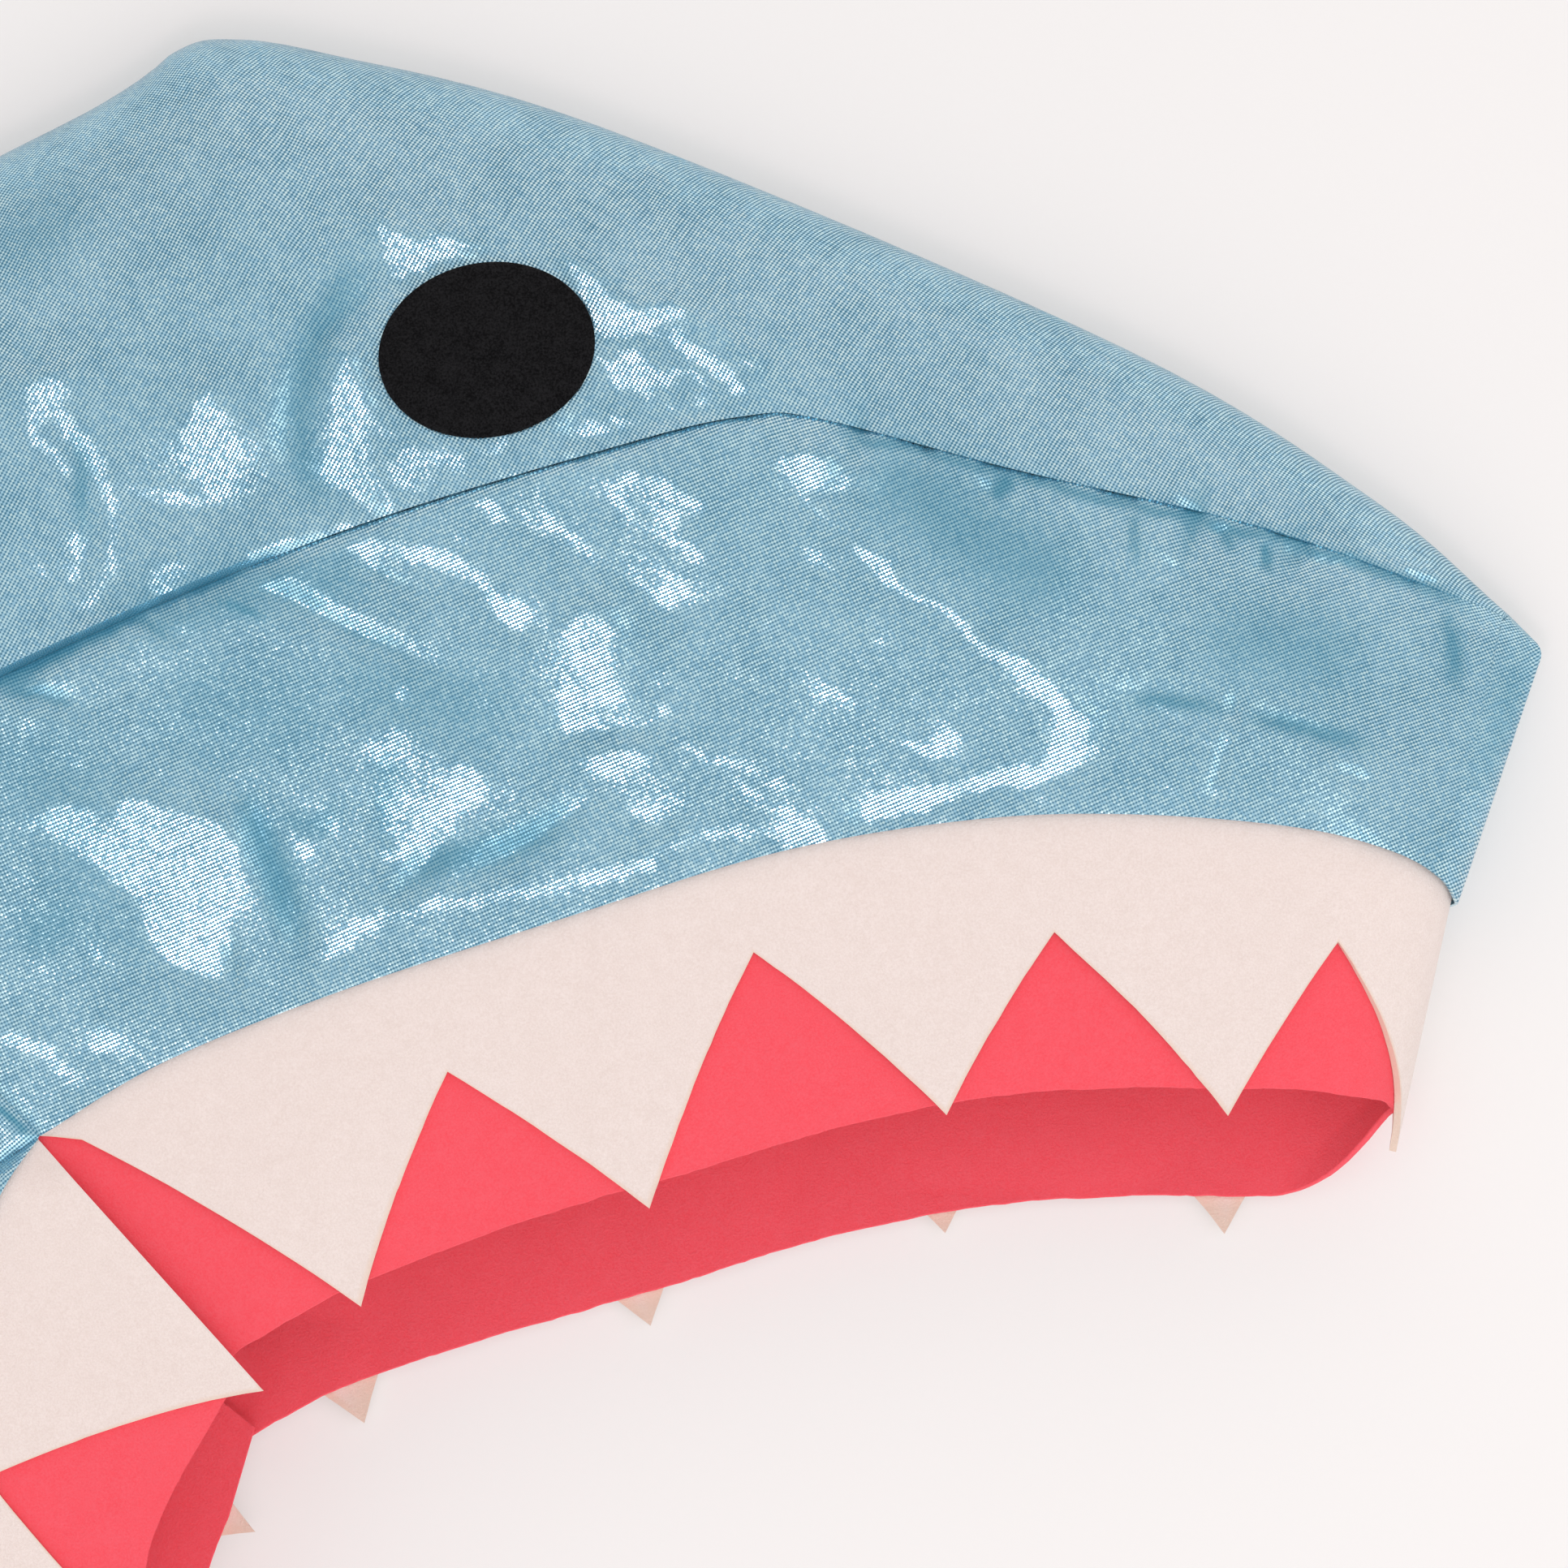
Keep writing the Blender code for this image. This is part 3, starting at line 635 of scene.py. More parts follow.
def on_grid(table, p):
    """Values of an even grid at these pattern points."""
    q = np.clip((p - GRID_LOW) / GRID, 0, np.array(table.shape) - 1.001)
    i, j = q.astype(int).T
    return in_cells(lambda a, b: table[i + a, j + b], q % 1)


def left_wrinkles(p):
    """The left half lies on the table, so its wrinkles only rise."""
    return np.abs(layered_noise(p, LEFT_CRUMPLE)) * ease(*LEFT_EDGE, distance(ridge_edge, p))


def layer_points(pattern, depth, side, of_jaw=False, detail=0.0):
    """Space points of a pattern grid on one layer, with the wrinkles that all its layers share."""
    flat = pattern.reshape(-1, 2)
    points = smooth_layer(flat, depth, side, of_jaw)
    points[:, 2] += on_grid(right_wrinkles, flat) if side == RIGHT else left_wrinkles(flat)
    points = points.reshape(*pattern.shape[:2], 3)
    points[..., 2] += detail
    return points


def two_faces(pattern, depth, thickness, side, of_jaw=False, detail=0.0):
    """The outer and the inner face of a piece this deep under the outside."""
    return [layer_points(pattern, d, side, of_jaw, detail) for d in (depth, depth + thickness)]


def valley(share):
    """1 at the bottom of a sharp fold, 0 at its edge."""
    return np.clip(1 - share, 0, 1)**VALLEY_POWER


def stroke(points, p, reach, per_span=8):
    """Which points lie near a curved stroke, and their distance from it, their run along it and its
    length."""
    line = smooth_curve(points, per_span)
    near = close_to(line, p, reach)
    off, _, run = nearest_on(line, p[near])
    return near, off, run, lengths(line)[-1]


def painted_fold_shade(pattern, detail, side):
    """Painted shade: 1 deep in a groove or furrow and on the listed shaded sides of folds, 0 on open cloth.
    """
    total = np.clip(np.abs(detail) / FOLD_SHADE_DEPTH - FOLD_SHADE_START, 0, 1).ravel()
    if side == RIGHT:
        q = warped(pattern.reshape(-1, 2), CREASE_WARP)
        for strength, points, width in PAINTED_SHADES:
            near, off, run, length = stroke(points, q, SHADE_REACH * width, SHADE_STEPS)
            end = np.minimum(run, length - run) / min(SHADE_TAPER, SHADE_TAPER_SHARE * length)
            shade = strength * ease(SHADE_END, 1, end) * np.exp(-(off / width)**2)
            total[near] = np.maximum(total[near], shade)
    return total


def weave_lean(pattern, grain):
    """Slope of the weave in the facets, along and across the grain."""
    p = pattern.reshape(-1, 2)
    return np.column_stack([*turned(on_grid(lean_x, p), on_grid(lean_y, p), grain), np.zeros(len(p))])


def seam_relief(p):
    """Furrows along the seams, and the puckers and pleats that the sewing draws up."""
    off = distance(crown_seam, p)
    side, run = past(crown_seam, p)
    below = side > 0
    line = np.column_stack([run, np.zeros(len(p))])
    back, front, nose = [ease(*span, p[:, 0]) for span in (SEAM_BACK, SEAM_FRONT, SEAM_NOSE)]
    depth = SEAM_FURROW * (1 - FRONT_EASE * front) * nose + back
    width = SEAM_FURROW_WIDTH * np.where(below, 1 + BACK_WIDENING * back, CROWN_SIDE_WIDTH)
    furrow = -depth * valley(off / width)
    furrow *= np.where(below, 1, CROWN_SIDE_DEPTH + (1 - CROWN_SIDE_DEPTH) * back)
    for end in (SNOUT_SEAM_START, CHEEK_SEAM_END):
        gap = distance(np.array([(0, 0), end], float), p)
        furrow = np.minimum(furrow, -CHEEK_FURROW * valley(gap / SEAM_FURROW_WIDTH))
    pucker = 0.0
    for height, wave, reach, seed in PUCKERS:
        pucker = pucker + height * soft_noise(line, wave, seed) * np.exp(-off / reach)
    pleat = np.clip(soft_noise(line, PLEAT_WAVE, 33) - PLEAT_START, 0, 1) * np.exp(-off / PLEAT_REACH)
    return furrow + pucker - PLEAT_DEPTH * pleat * front * np.where(below, 1, PLEAT_CROWN_SIDE)


def cloth_detail(pattern, side):
    """Extra height of the outer cloth: its seams, its grooves and the rolled hem."""
    p = pattern.reshape(-1, 2)
    lip = np.minimum(distance(upper_lip, p), distance(lower_lip, p))
    hem = -HEM_ROLL * valley(lip / HEM_WIDTH)
    edge = ease(*DETAIL_EDGE, np.minimum(distance(ridge_edge, p), distance(front_edge, p)))
    seams = seam_relief(p) * edge
    if side == LEFT:
        return np.maximum(-(LEFT_RELIEF * seams + hem), 0).reshape(pattern.shape[:2])
    grooves = np.zeros(len(p))
    for points, depth, width in GROOVES:
        near, gap, run, length = stroke(points, p, 2 * width)
        share = run / length
        taper = ease(0, GROOVE_TAPER, share) * ease(1, 1 - GROOVE_TAPER, share)
        groove = depth * valley(gap / (GROOVE_SPREAD * width))
        grooves[near] -= groove * (GROOVE_END + (1 - GROOVE_END) * taper)
    return (seams + grooves + hem).reshape(pattern.shape[:2])


# Patterns: a grid of points between two sewing lines

def even(count, power=1.0):
    """Shares from 0 to 1, crowded towards 0 where the power is over 1."""
    return np.linspace(0, 1, count + 1)**power


def between(first, second, rows, first_inset=SEAM_GAP / 2, second_inset=SEAM_GAP / 2):
    """Grid between two lines of as many points: rows are shares across, and insets are lengths."""
    width = norm(second - first, axis=1)[:, None]
    shares = (first_inset + np.asarray(rows) * (width - first_inset - second_inset)) / width
    return first[:, None, :] + (second - first)[:, None, :] * shares[..., None]


def seam_split():
    """Running lengths along the crown seam: where the snout seam meets it, and its front end."""
    run = lengths(crown_seam)
    return run[norm(crown_seam - SNOUT_SEAM_START, axis=1).argmin()], run[-1]


def crown_pattern(columns, rows):
    shares = even(columns)
    return between(at_shares(ridge, shares), at_shares(crown_seam, shares), even(rows, 1.5), 0.0)


def snout_pattern(columns, rows):
    """From the lip up to the crown seam; its top runs on past the seam to the tip of the nose."""
    past_seam = np.linspace(NOSE_SHARE, 1, NOSE_COLUMNS + 1)[1:]
    shares = np.concatenate([np.linspace(0, NOSE_SHARE, columns), past_seam])
    meet, end = seam_split()
    on_seam = at_lengths(crown_seam, meet + (end - meet) * shares[:columns] / NOSE_SHARE)
    low = at_shares(upper_lip, shares)
    high = np.vstack([on_seam, np.linspace(ridge[-1], NOSE_TIP, NOSE_COLUMNS)])
    inset = np.where(np.arange(len(shares)) < columns, SEAM_GAP / 2, 0)[:, None]
    high = high + unit(low - high) * inset
    return rounded_tip(low[:, None, :] + (high - low)[:, None, :] * even(rows)[:, None])


def rounded_tip(pattern):
    """Brings points outside the rounded tip of the nose in to its arc."""
    sides = unit(np.array([ridge[-1], lip_front]) - NOSE_TIP)
    half = math.acos(sides[0] @ sides[1]) / 2
    middle = unit(sides.sum(0))
    centre = NOSE_TIP + middle * TIP_RADIUS / math.sin(half)
    off = pattern - centre
    size = norm(off, axis=-1, keepdims=True)
    outside = (size > TIP_RADIUS) & (-(off @ middle)[..., None] > size * math.sin(half))
    return np.where(outside, centre + off * TIP_RADIUS / np.maximum(size, GAP), pattern)


def cheek_pattern(columns, rows):
    """Behind the corner of the mouth: from the snout and crown seams down to the cheek seam."""
    meet = at_lengths(crown_seam, seam_split()[0])
    start = CORNER_CLEARANCE * direction(CHEEK_SEAM_ANGLE - CHEEK_CORNER_TURN)
    across = unit(np.array([-meet[1], meet[0]]))
    snout_seam = np.linspace(start, meet + across * GAP / 2, columns // 3)
    crown_part = at_lengths(crown_seam, np.linspace(seam_split()[0], 0, columns - columns // 3 + 1)[1:])
    upper = np.vstack([snout_seam, crown_part])
    lower = np.linspace(CORNER_CLEARANCE * direction(CHEEK_SEAM_ANGLE), CHEEK_SEAM_END, len(upper))
    return between(upper, lower, even(rows))


def throat_pattern(columns, rows):
    """Between the cheek seam and the lower lip, down to the neck."""
    seam = np.array([THROAT_START * direction(CHEEK_SEAM_ANGLE), CHEEK_SEAM_END])
    lip = at_lengths(lower_lip, np.linspace(THROAT_START, lengths(lower_lip)[-1], 60))
    shares = even(columns)
    return between(at_shares(seam, shares), at_shares(lip, shares), even(rows), second_inset=0.0)


def inner_pattern(lip_inset, neck_inset):
    """Lining and wadding of one half: from near the ridge down to the cheek seam and the lip."""
    cheek = np.linspace(CHEEK_SEAM_END, CORNER_CLEARANCE * direction(CHEEK_SEAM_ANGLE), 30)
    lower = np.vstack([cheek, at_shares(upper_lip, even(80)[1:])])
    trim = neck_inset / lengths(lower)[-1]
    shares = trim + (1 - trim) * even(120)
    return between(at_shares(ridge_edge, shares), at_shares(lower, shares), even(36, 1.3),
                   LINING_INSET, lip_inset)


def facing_pattern(from_point, to_point, start, stop):
    """Strip inside the neck edge between two of its points, stopping short of each."""
    a, b = np.array(from_point, float), np.array(to_point, float)
    along = unit(b - a)
    inward = np.array([-along[1], along[0]])
    ends = np.linspace(a + start * along, b - stop * along, 24)
    return np.stack([ends + w * inward for w in np.linspace(GAP, FACING_WIDTH, 8)], axis=1)


def tooth_reach(run, teeth, end_depth):
    """Depth of a toothed edge along its lip, in straight lines between its tips and notches."""
    marks, depths = zip((0.0, GAP), *teeth, (max(run[-1], teeth[-1][0] + GAP), end_depth))
    return np.interp(run, marks, depths)


def hung(line_points, angles, tuck, reach):
    """Grid of a strip hung from a line: rows from a tuck behind it down to its reach."""
    hang = direction(angles)
    behind = [line_points - (tuck * r)[:, None] * hang for r in (1.0, 0.5)]
    below = [line_points + (reach * r)[:, None] * hang for r in even(STRIP_ROWS)]
    return np.stack([*behind, *below], axis=1)


def strip_marks(start, end, teeth, step=1.6):
    """Running lengths along a lip: even steps, and each tip and notch exactly."""
    marks = np.array(teeth)[:, 0]
    steps = np.linspace(start, end, int((end - start) / step))
    kept = steps[np.abs(steps[:, None] - marks).min(1) > step / 3]
    return np.sort(np.concatenate([kept, marks[(start < marks) & (marks < end)]]))


def upper_strip(toothed, side):
    """The mouth felt also runs on round the corner, under the lower teeth."""
    fine = even(400)
    run = lengths(smooth_layer(at_shares(upper_lip, fine), 0.0, RIGHT, False))
    marks = strip_marks(0.0, run[-1], UPPER_TEETH)
    shares = np.interp(marks, run, fine)
    angles = HANG_CORNER + (HANG_FRONT - HANG_CORNER) * shares
    reach = np.interp(shares, *smooth_curve(MOUTH_DEPTHS[side]).T)
    if toothed:
        reach = tooth_reach(marks, UPPER_TEETH, FRONT_TOOTH)
    reach = reach + snipped(marks)
    lip = at_shares(upper_lip, shares)
    if not toothed and side == RIGHT:
        steps = np.linspace(CORNER_WRAP, 0, 7)[:-1]
        lip = np.vstack([at_lengths(lower_lip, steps / WRAP_PER_MM), lip])
        angles = np.concatenate([HANG_CORNER - steps, angles])
        reach = np.concatenate([np.full_like(steps, reach[0]), reach])
    return hung(lip, angles, np.full_like(reach, FELT_TUCK), reach)


def lower_strip(toothed, side):
    """The strip fans out from the corner of the mouth as far as its first tip."""
    (first_tip, _), (first_notch, _) = LOWER_TEETH[:2]
    marks = strip_marks(LOWER_FELT_START, LOWER_FELT_END, LOWER_TEETH)
    share = np.clip((marks - LOWER_RUN_IN) / (LOWER_FELT_END - LOWER_RUN_IN), 0, 1)
    angles = LOWER_HANG_CORNER + (LOWER_HANG_END - LOWER_HANG_CORNER) * share**LOWER_HANG_POWER
    angles = angles + (FAR_JAW_TURN if side == LEFT else 0)
    reach = FELT_DEPTH - LOWER_SLANT[side] * ease(first_tip, first_notch + SLANT_RUN, marks)
    if toothed:
        reach = tooth_reach(marks, LOWER_TEETH, LOWER_TEETH[-1][1])
    reach = reach + snipped(marks)
    lip = at_lengths(lower_lip, marks)
    first = np.abs(marks - first_tip).argmin()
    tip = lip[first] + reach[first] * direction(angles[first])
    fan_start = tip + first_tip * FAN_SHARE * direction(FAN_TURN)
    if not toothed:
        fan_start = FAN_REACH * direction(FAN_ANGLE[side])
    ends = tip + np.outer(np.clip(1 - marks / first_tip, 0, 1), fan_start - tip)
    way = ends - lip
    early = marks < first_tip
    angles = np.where(early, np.degrees(np.arctan2(way[:, 1], way[:, 0])), angles)
    reach = np.where(early, norm(way, axis=1), reach)
    tuck = GAP + (FELT_TUCK - GAP) * ease(LOWER_FELT_START, first_notch, marks)
    return hung(lip, angles, tuck, reach)


def snipped(marks):
    """Small unevenness of an edge cut with scissors."""
    line = np.column_stack([marks, np.zeros_like(marks)])
    return layered_noise(line, SNIPS) - SNIP_INSET


# Meshes

SHARP_ANGLE = 50.0
BEVEL_ANGLE = 55.0


def add_mesh(name, points, faces, uvs=None):
    mesh = bpy.data.meshes.new(name)
    mesh.from_pydata(points.tolist(), [], faces)
    if uvs is not None:
        layer = mesh.uv_layers.new(name="grain")
        at_loop = np.zeros(len(mesh.loops), int)
        mesh.loops.foreach_get("vertex_index", at_loop)
        layer.data.foreach_set("uv", uvs[at_loop].astype(np.float32).ravel())
    made = bpy.data.objects.new(name, mesh)
    bpy.context.scene.collection.objects.link(made)
    bm = bmesh.new()
    bm.from_mesh(mesh)
    bmesh.ops.recalc_face_normals(bm, faces=bm.faces)
    bm.to_mesh(mesh)
    bm.free()
    mesh.shade_smooth()
    mesh.set_sharp_from_angle(angle=math.radians(SHARP_ANGLE))
    return made


def quads(at):
    """Faces of a grid of point numbers."""
    return np.stack([at[:-1, :-1], at[1:, :-1], at[1:, 1:], at[:-1, 1:]], axis=-1).reshape(-1, 4).tolist()


def rim(at):
    """Numbers of the points round a grid, in order."""
    return np.concatenate([at[:, 0], at[-1, 1:], at[-2::-1, -1], at[0, -2:0:-1]])


def shell(name, outer, inner, flat=None, is_round=False, **marks):
    """Closed shell between two grids of space points in millimetres. The columns of a round one run all
    round its middle. Marks are more values of each point."""
    points = np.concatenate([outer.reshape(-1, 3), inner.reshape(-1, 3)]) * MM
    points[:, :2] += CORNER[:2]
    count = len(points) // 2
    at = np.arange(count).reshape(outer.shape[:2])
    loop, ends = rim(at), []
    if is_round:
        loop, ends = at[:, -1], [at[:, 0].tolist(), (at[:, 0] + count).tolist()]
        at = np.vstack([at, at[:1]])
    after = np.roll(loop, -1)
    sides = np.column_stack([loop, after, after + count, loop + count]).tolist()
    uvs = None if flat is None else np.tile(flat.reshape(-1, 2), (2, 1)) * MM
    made = add_mesh(name, points, quads(at) + quads(at + count) + sides + ends, uvs)
    for key, values in marks.items():
        kind, field = ("FLOAT", "value") if values.ndim == 1 else ("FLOAT_VECTOR", "vector")
        layer = made.data.attributes.new(key, kind, "POINT")
        layer.data.foreach_set(field, np.concatenate([values, values]).astype(np.float32).ravel())
    return made


def laid_flat(pattern, points, from_row, grain):
    """Each grid point on the flat cut cloth: true lengths from one row, turned to the grain."""
    order = slice(None) if from_row == 0 else slice(None, None, -1)
    p, q = pattern[:, order], points[:, order]
    run = np.stack([lengths(line) for line in q])
    way = p[:, -1] - p[:, 0]
    way /= np.maximum(norm(way, axis=1), 1e-6)[:, None]
    flat = (p[:, :1] + way[:, None, :] * run[..., None])[:, order]
    return np.stack(turned(flat[..., 0], flat[..., 1], grain), axis=-1)


# Pieces

BENDING = ("crown", "cheek", "throat_panel", "lining", "wadding", "neck_facing")
JAW = "lower_jaw"
bodies = {node: body for body, members in frame["record"]["behaviour"]["bodies"].items() for node in members}


def join_bodies(piece, node):
    """Cloth behind the mouth rides on neither body, with its place baked in; every other piece rides on one.
    """
    if node.startswith(BENDING):
        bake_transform(piece)
    else:
        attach(piece, bodies[node])


def dress(piece, node, finish):
    """Gives a piece its material and its node's place."""
    piece.data.materials.append(finish)
    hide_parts(node)
    join_bodies(piece, node)


def cloth_panel(node, pattern, side, from_row, grain, finish):
    """Outer panel with its wrinkles, as a thin closed shell."""
    detail = cloth_detail(pattern, side)
    faces = two_faces(pattern, 0.0, CLOTH, side, bodies[node] == JAW, detail)
    flat = laid_flat(pattern, faces[0], from_row, grain)
    # Painted shade in folds, carried to the material as the fold value
    marks = {"fold": painted_fold_shade(pattern, detail, side)}
    if side == RIGHT:
        marks["lean"] = weave_lean(pattern, grain)
    dress(shell(node + "_soft", *faces, flat, **marks), node, finish)


def felt_strip(node, pattern, side, depth, finish, seed):
    """Strip of felt that follows its layer, with a slow wave of its own and softened edges."""
    of_jaw = bodies[node] == JAW
    p, shape = pattern.reshape(-1, 2), pattern.shape[:2]
    faces = two_faces(pattern, depth, FELT, side, of_jaw)
    wave = FELT_WAVE * np.abs(soft_noise(p, FELT_WAVE_LENGTH, seed)).reshape(shape)
    wave = wave * (1 if side == LEFT else -1) * ease(0, FELT_WAVE_ROWS, np.arange(shape[1]))
    rise = FAR_FELT_LIFT - jaw_lift(p).reshape(shape) if of_jaw and side == LEFT else 0.0
    for points in faces:
        points[..., 2] += rise
        points[..., 2] += wave
    to_edge = norm(pattern - pattern[:, -1:], axis=-1).ravel()
    # rim: share of the tan edge tint, which is painted shade over the far teeth tips of the left half
    piece = shell(node + "_soft", *faces, rim=ease(EDGE_TAN_AND_SHADE_WIDTH[side], 0, to_edge))
    soften(piece, FELT_BEVEL)
    dress(piece, node, finish)


def lining_piece(node, pattern, side, depth, thickness, finish):
    """Plain inner cloth that follows the outer panel's relief."""
    faces = two_faces(pattern, depth, thickness, side, bodies[node] == JAW, cloth_detail(pattern, side))
    dress(shell(node + "_soft", *faces), node, finish)


def wadding_piece(node, side, finish):
    """Soft filling between the outer panels and the lining."""
    pattern = inner_pattern(FELT_TUCK + WADDING_LIP, WADDING_NECK)
    faces = two_faces(pattern, WADDING_DEPTH, WADDING, side, False, cloth_detail(pattern, side))
    piece = shell(node + "_soft", *faces)
    piece.data.materials.append(finish)
    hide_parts(node)
    join_bodies(piece, node)


def soften(piece, width):
    """Rounds the cut edges of a felt piece."""
    bevel = piece.modifiers.new("cut_edge", "BEVEL")
    bevel.width = width * MM
    bevel.segments = 2
    bevel.limit_method = "ANGLE"
    bevel.angle_limit = math.radians(BEVEL_ANGLE)
    bpy.context.view_layer.update()
    made = bpy.data.meshes.new_from_object(piece.evaluated_get(bpy.context.evaluated_depsgraph_get()))
    piece.modifiers.clear()
    piece.data = made


def eye_piece(node, side, finish):
    """Oval of felt on the outside of the crown panel."""
    rings = np.linspace(0.02, 1, EYE_RINGS)
    angles = np.linspace(0, 2 * np.pi, EYE_STEPS, endpoint=False)
    x = np.outer(EYE_LENGTH / 2 * np.cos(angles), rings)
    y = np.outer(EYE_HEIGHT / 2 * np.sin(angles), rings)
    oval = np.stack(turned(x, y, -EYE_TILT), axis=-1)
    if side == RIGHT:
        faces = [layer_points(oval + EYE_CENTRE, d, side) for d in (-FELT - GAP, -EYE_SINK)]
    else:
        flat = oval + spread(np.array([EYE_CENTRE]))
        faces = [np.dstack([flat, np.full(flat.shape[:2], z)]) for z in (0.0, FELT)]
    piece = shell(node + "_soft", *faces, is_round=True)
    soften(piece, EYE_BEVEL)
    dress(piece, node, finish)


# Materials: the darker and the lighter colour of each mottle

BLUE = ((0.035, 0.18, 0.29), (0.08, 0.24, 0.365))
SILVER = ((0.45, 0.745, 0.915), (0.69, 0.95, 1.0))
# Painted shade in folds: the deeper blue and the dimmer silver
FOLD_SHADE_BLUE = (0.02, 0.19, 0.31)
FOLD_SHADE_SILVER = (0.17, 0.49, 0.63)
WHITE = ((0.86, 0.735, 0.685), (0.95, 0.84, 0.80))
# Tan by the felt's cut edges, also painted shade over the left half's far teeth tips
WHITE_EDGE_TAN_AND_SHADE = (0.86, 0.64, 0.50)
CORAL = ((1.0, 0.09, 0.12), (1.0, 0.13, 0.17))
BLACK = ((0.0005, 0.0005, 0.001), (0.013, 0.013, 0.0145))
LINING_BLUE = ((0.28, 0.50, 0.61), (0.42, 0.64, 0.74))
WADDING_WHITE = ((0.78, 0.78, 0.76), (0.92, 0.92, 0.90))


class Nodes:
    """Short ways to add nodes to the node tree of a material or world."""

    def __init__(self, owner):
        owner.use_nodes = True
        self.tree = owner.node_tree

    def add(self, kind, inputs, **settings):
        node = self.tree.nodes.new("ShaderNode" + kind)
        for key, value in settings.items():
            setattr(node, key, value)
        self.join(node, inputs)
        return node

    def join(self, node, inputs):
        for key, value in inputs.items():
            if isinstance(value, bpy.types.NodeSocket):
                self.tree.links.new(value, node.inputs[key])
            else:
                node.inputs[key].default_value = value

    def math(self, operation, a, b=0.0):
        return self.add("Math", {0: a, 1: b}, operation=operation).outputs[0]

    def ramp(self, value, low, high, to_low=0.0, to_high=1.0):
        inputs = {"Value": value, "From Min": low, "From Max": high, "To Min": to_low, "To Max": to_high}
        return self.add("MapRange", inputs, interpolation_type="SMOOTHSTEP").outputs["Result"]

    def noise(self, vector, scale, detail=2.0, roughness=0.5):
        inputs = {"Vector": vector, "Scale": scale, "Detail": detail, "Roughness": roughness}
        return self.add("TexNoise", inputs).outputs["Fac"]

    def mix(self, share, a, b):
        """Blend of two colours, each a socket or its red, green and blue."""
        a, b = [c if isinstance(c, bpy.types.NodeSocket) else (*c, 1) for c in (a, b)]
        return self.add("Mix", {0: share, 6: a, 7: b}, data_type="RGBA").outputs[2]

    def vector(self, operation, *values):
        return self.add("VectorMath", dict(enumerate(values)), operation=operation).outputs[0]

    def place(self, kind):
        return self.add("TexCoord", {}).outputs[kind]

    def parts(self, vector):
        return self.add("SeparateXYZ", {"Vector": vector}).outputs

    def mark(self, name, kind="Fac"):
        """A value that the points of the mesh carry."""
        return self.add("Attribute", {}, attribute_name=name).outputs[kind]

    def bump(self, height, distance, strength=1.0):
        inputs = {"Height": height, "Distance": distance, "Strength": strength}
        return self.add("Bump", inputs).outputs["Normal"]


class Finish(Nodes):
    """A material with a Principled shader."""

    def __init__(self, name):
        self.material = bpy.data.materials.new(name)
        super().__init__(self.material)
        self.shader = self.tree.nodes["Principled BSDF"]


def shimmer_finish():
    """Weave of silvery threads over a deep blue ground: rows of small bright dots, each of its own
    brightness and each leaning its own way, so the cloth sparkles where it faces the light."""
    f = Finish("shimmer_cloth")
    uv = f.place("UV")
    threads = f.vector("MULTIPLY", uv, (1 / (RIB * MM), 1 / (PICK * MM), 0))
    split = f.parts(threads)
    waves = [f.math("COSINE", f.math("MULTIPLY", split[k], 2 * math.pi)) for k in ("X", "Y")]
    cell = f.vector("FLOOR", f.vector("ADD", threads, (0.5, 0.5, 0)))
    chance = f.add("TexWhiteNoise", {"Vector": cell}, noise_dimensions="3D").outputs
    tone = f.math("SUBTRACT", f.noise(uv, 55.0, 5.0, 0.65), 0.5)
    slub = f.math("SUBTRACT", f.noise(uv, 420.0, 2.0), 0.5)
    dots = f.math("ADD", waves[0], f.math("MULTIPLY", waves[1], 0.75))
    uneven = f.math("MULTIPLY", f.math("ADD", tone, slub), 0.8)
    for stretch in ((0.09, 0.9, 0), (0.9, 0.07, 0)):
        along = f.vector("MULTIPLY", threads, stretch)
        uneven = f.math("SUBTRACT", uneven, f.ramp(f.noise(along, 0.6, 2.0), 0.55, 0.8, 0.0, SLUB))
    # Painted shade: where the fold value is high, less silver shows, it is dimmer, and the blue is deeper
    fold = f.mark("fold")
    silver = f.ramp(f.math("ADD", dots, uneven), -0.95, 0.85)
    silver = f.math("MULTIPLY", silver, f.ramp(fold, 0.0, 0.9, 1.0, 0.6))
    blue = f.mix(fold, f.mix(f.ramp(tone, -0.25, 0.25), *BLUE), FOLD_SHADE_BLUE)
    bright = f.mix(f.math("MULTIPLY", fold, 0.85), f.mix(chance["Value"], *SILVER), FOLD_SHADE_SILVER)
    middle = 0.5 - LEAN / 2
    lean = f.vector("MULTIPLY_ADD", chance["Color"], (LEAN, LEAN, 0), (middle, middle, 1))
    lean = f.vector("MULTIPLY_ADD", f.mark("lean", "Vector"), (-0.5, -0.5, 0), lean)
    leaning = f.add("NormalMap", {"Color": lean}, uv_map="grain").outputs["Normal"]
    rounded = f.add("Bump", {"Height": dots, "Distance": THREAD_RELIEF * MM, "Normal": leaning})
    f.join(f.shader, {"Base Color": f.mix(silver, blue, bright),
                      "Metallic": f.ramp(silver, 0.15, 0.85, 0.0, 1.0),
                      "Roughness": f.ramp(silver, 0.0, 1.0, 0.6, 0.17),
                      "Normal": rounded.outputs["Normal"]})
    return f.material


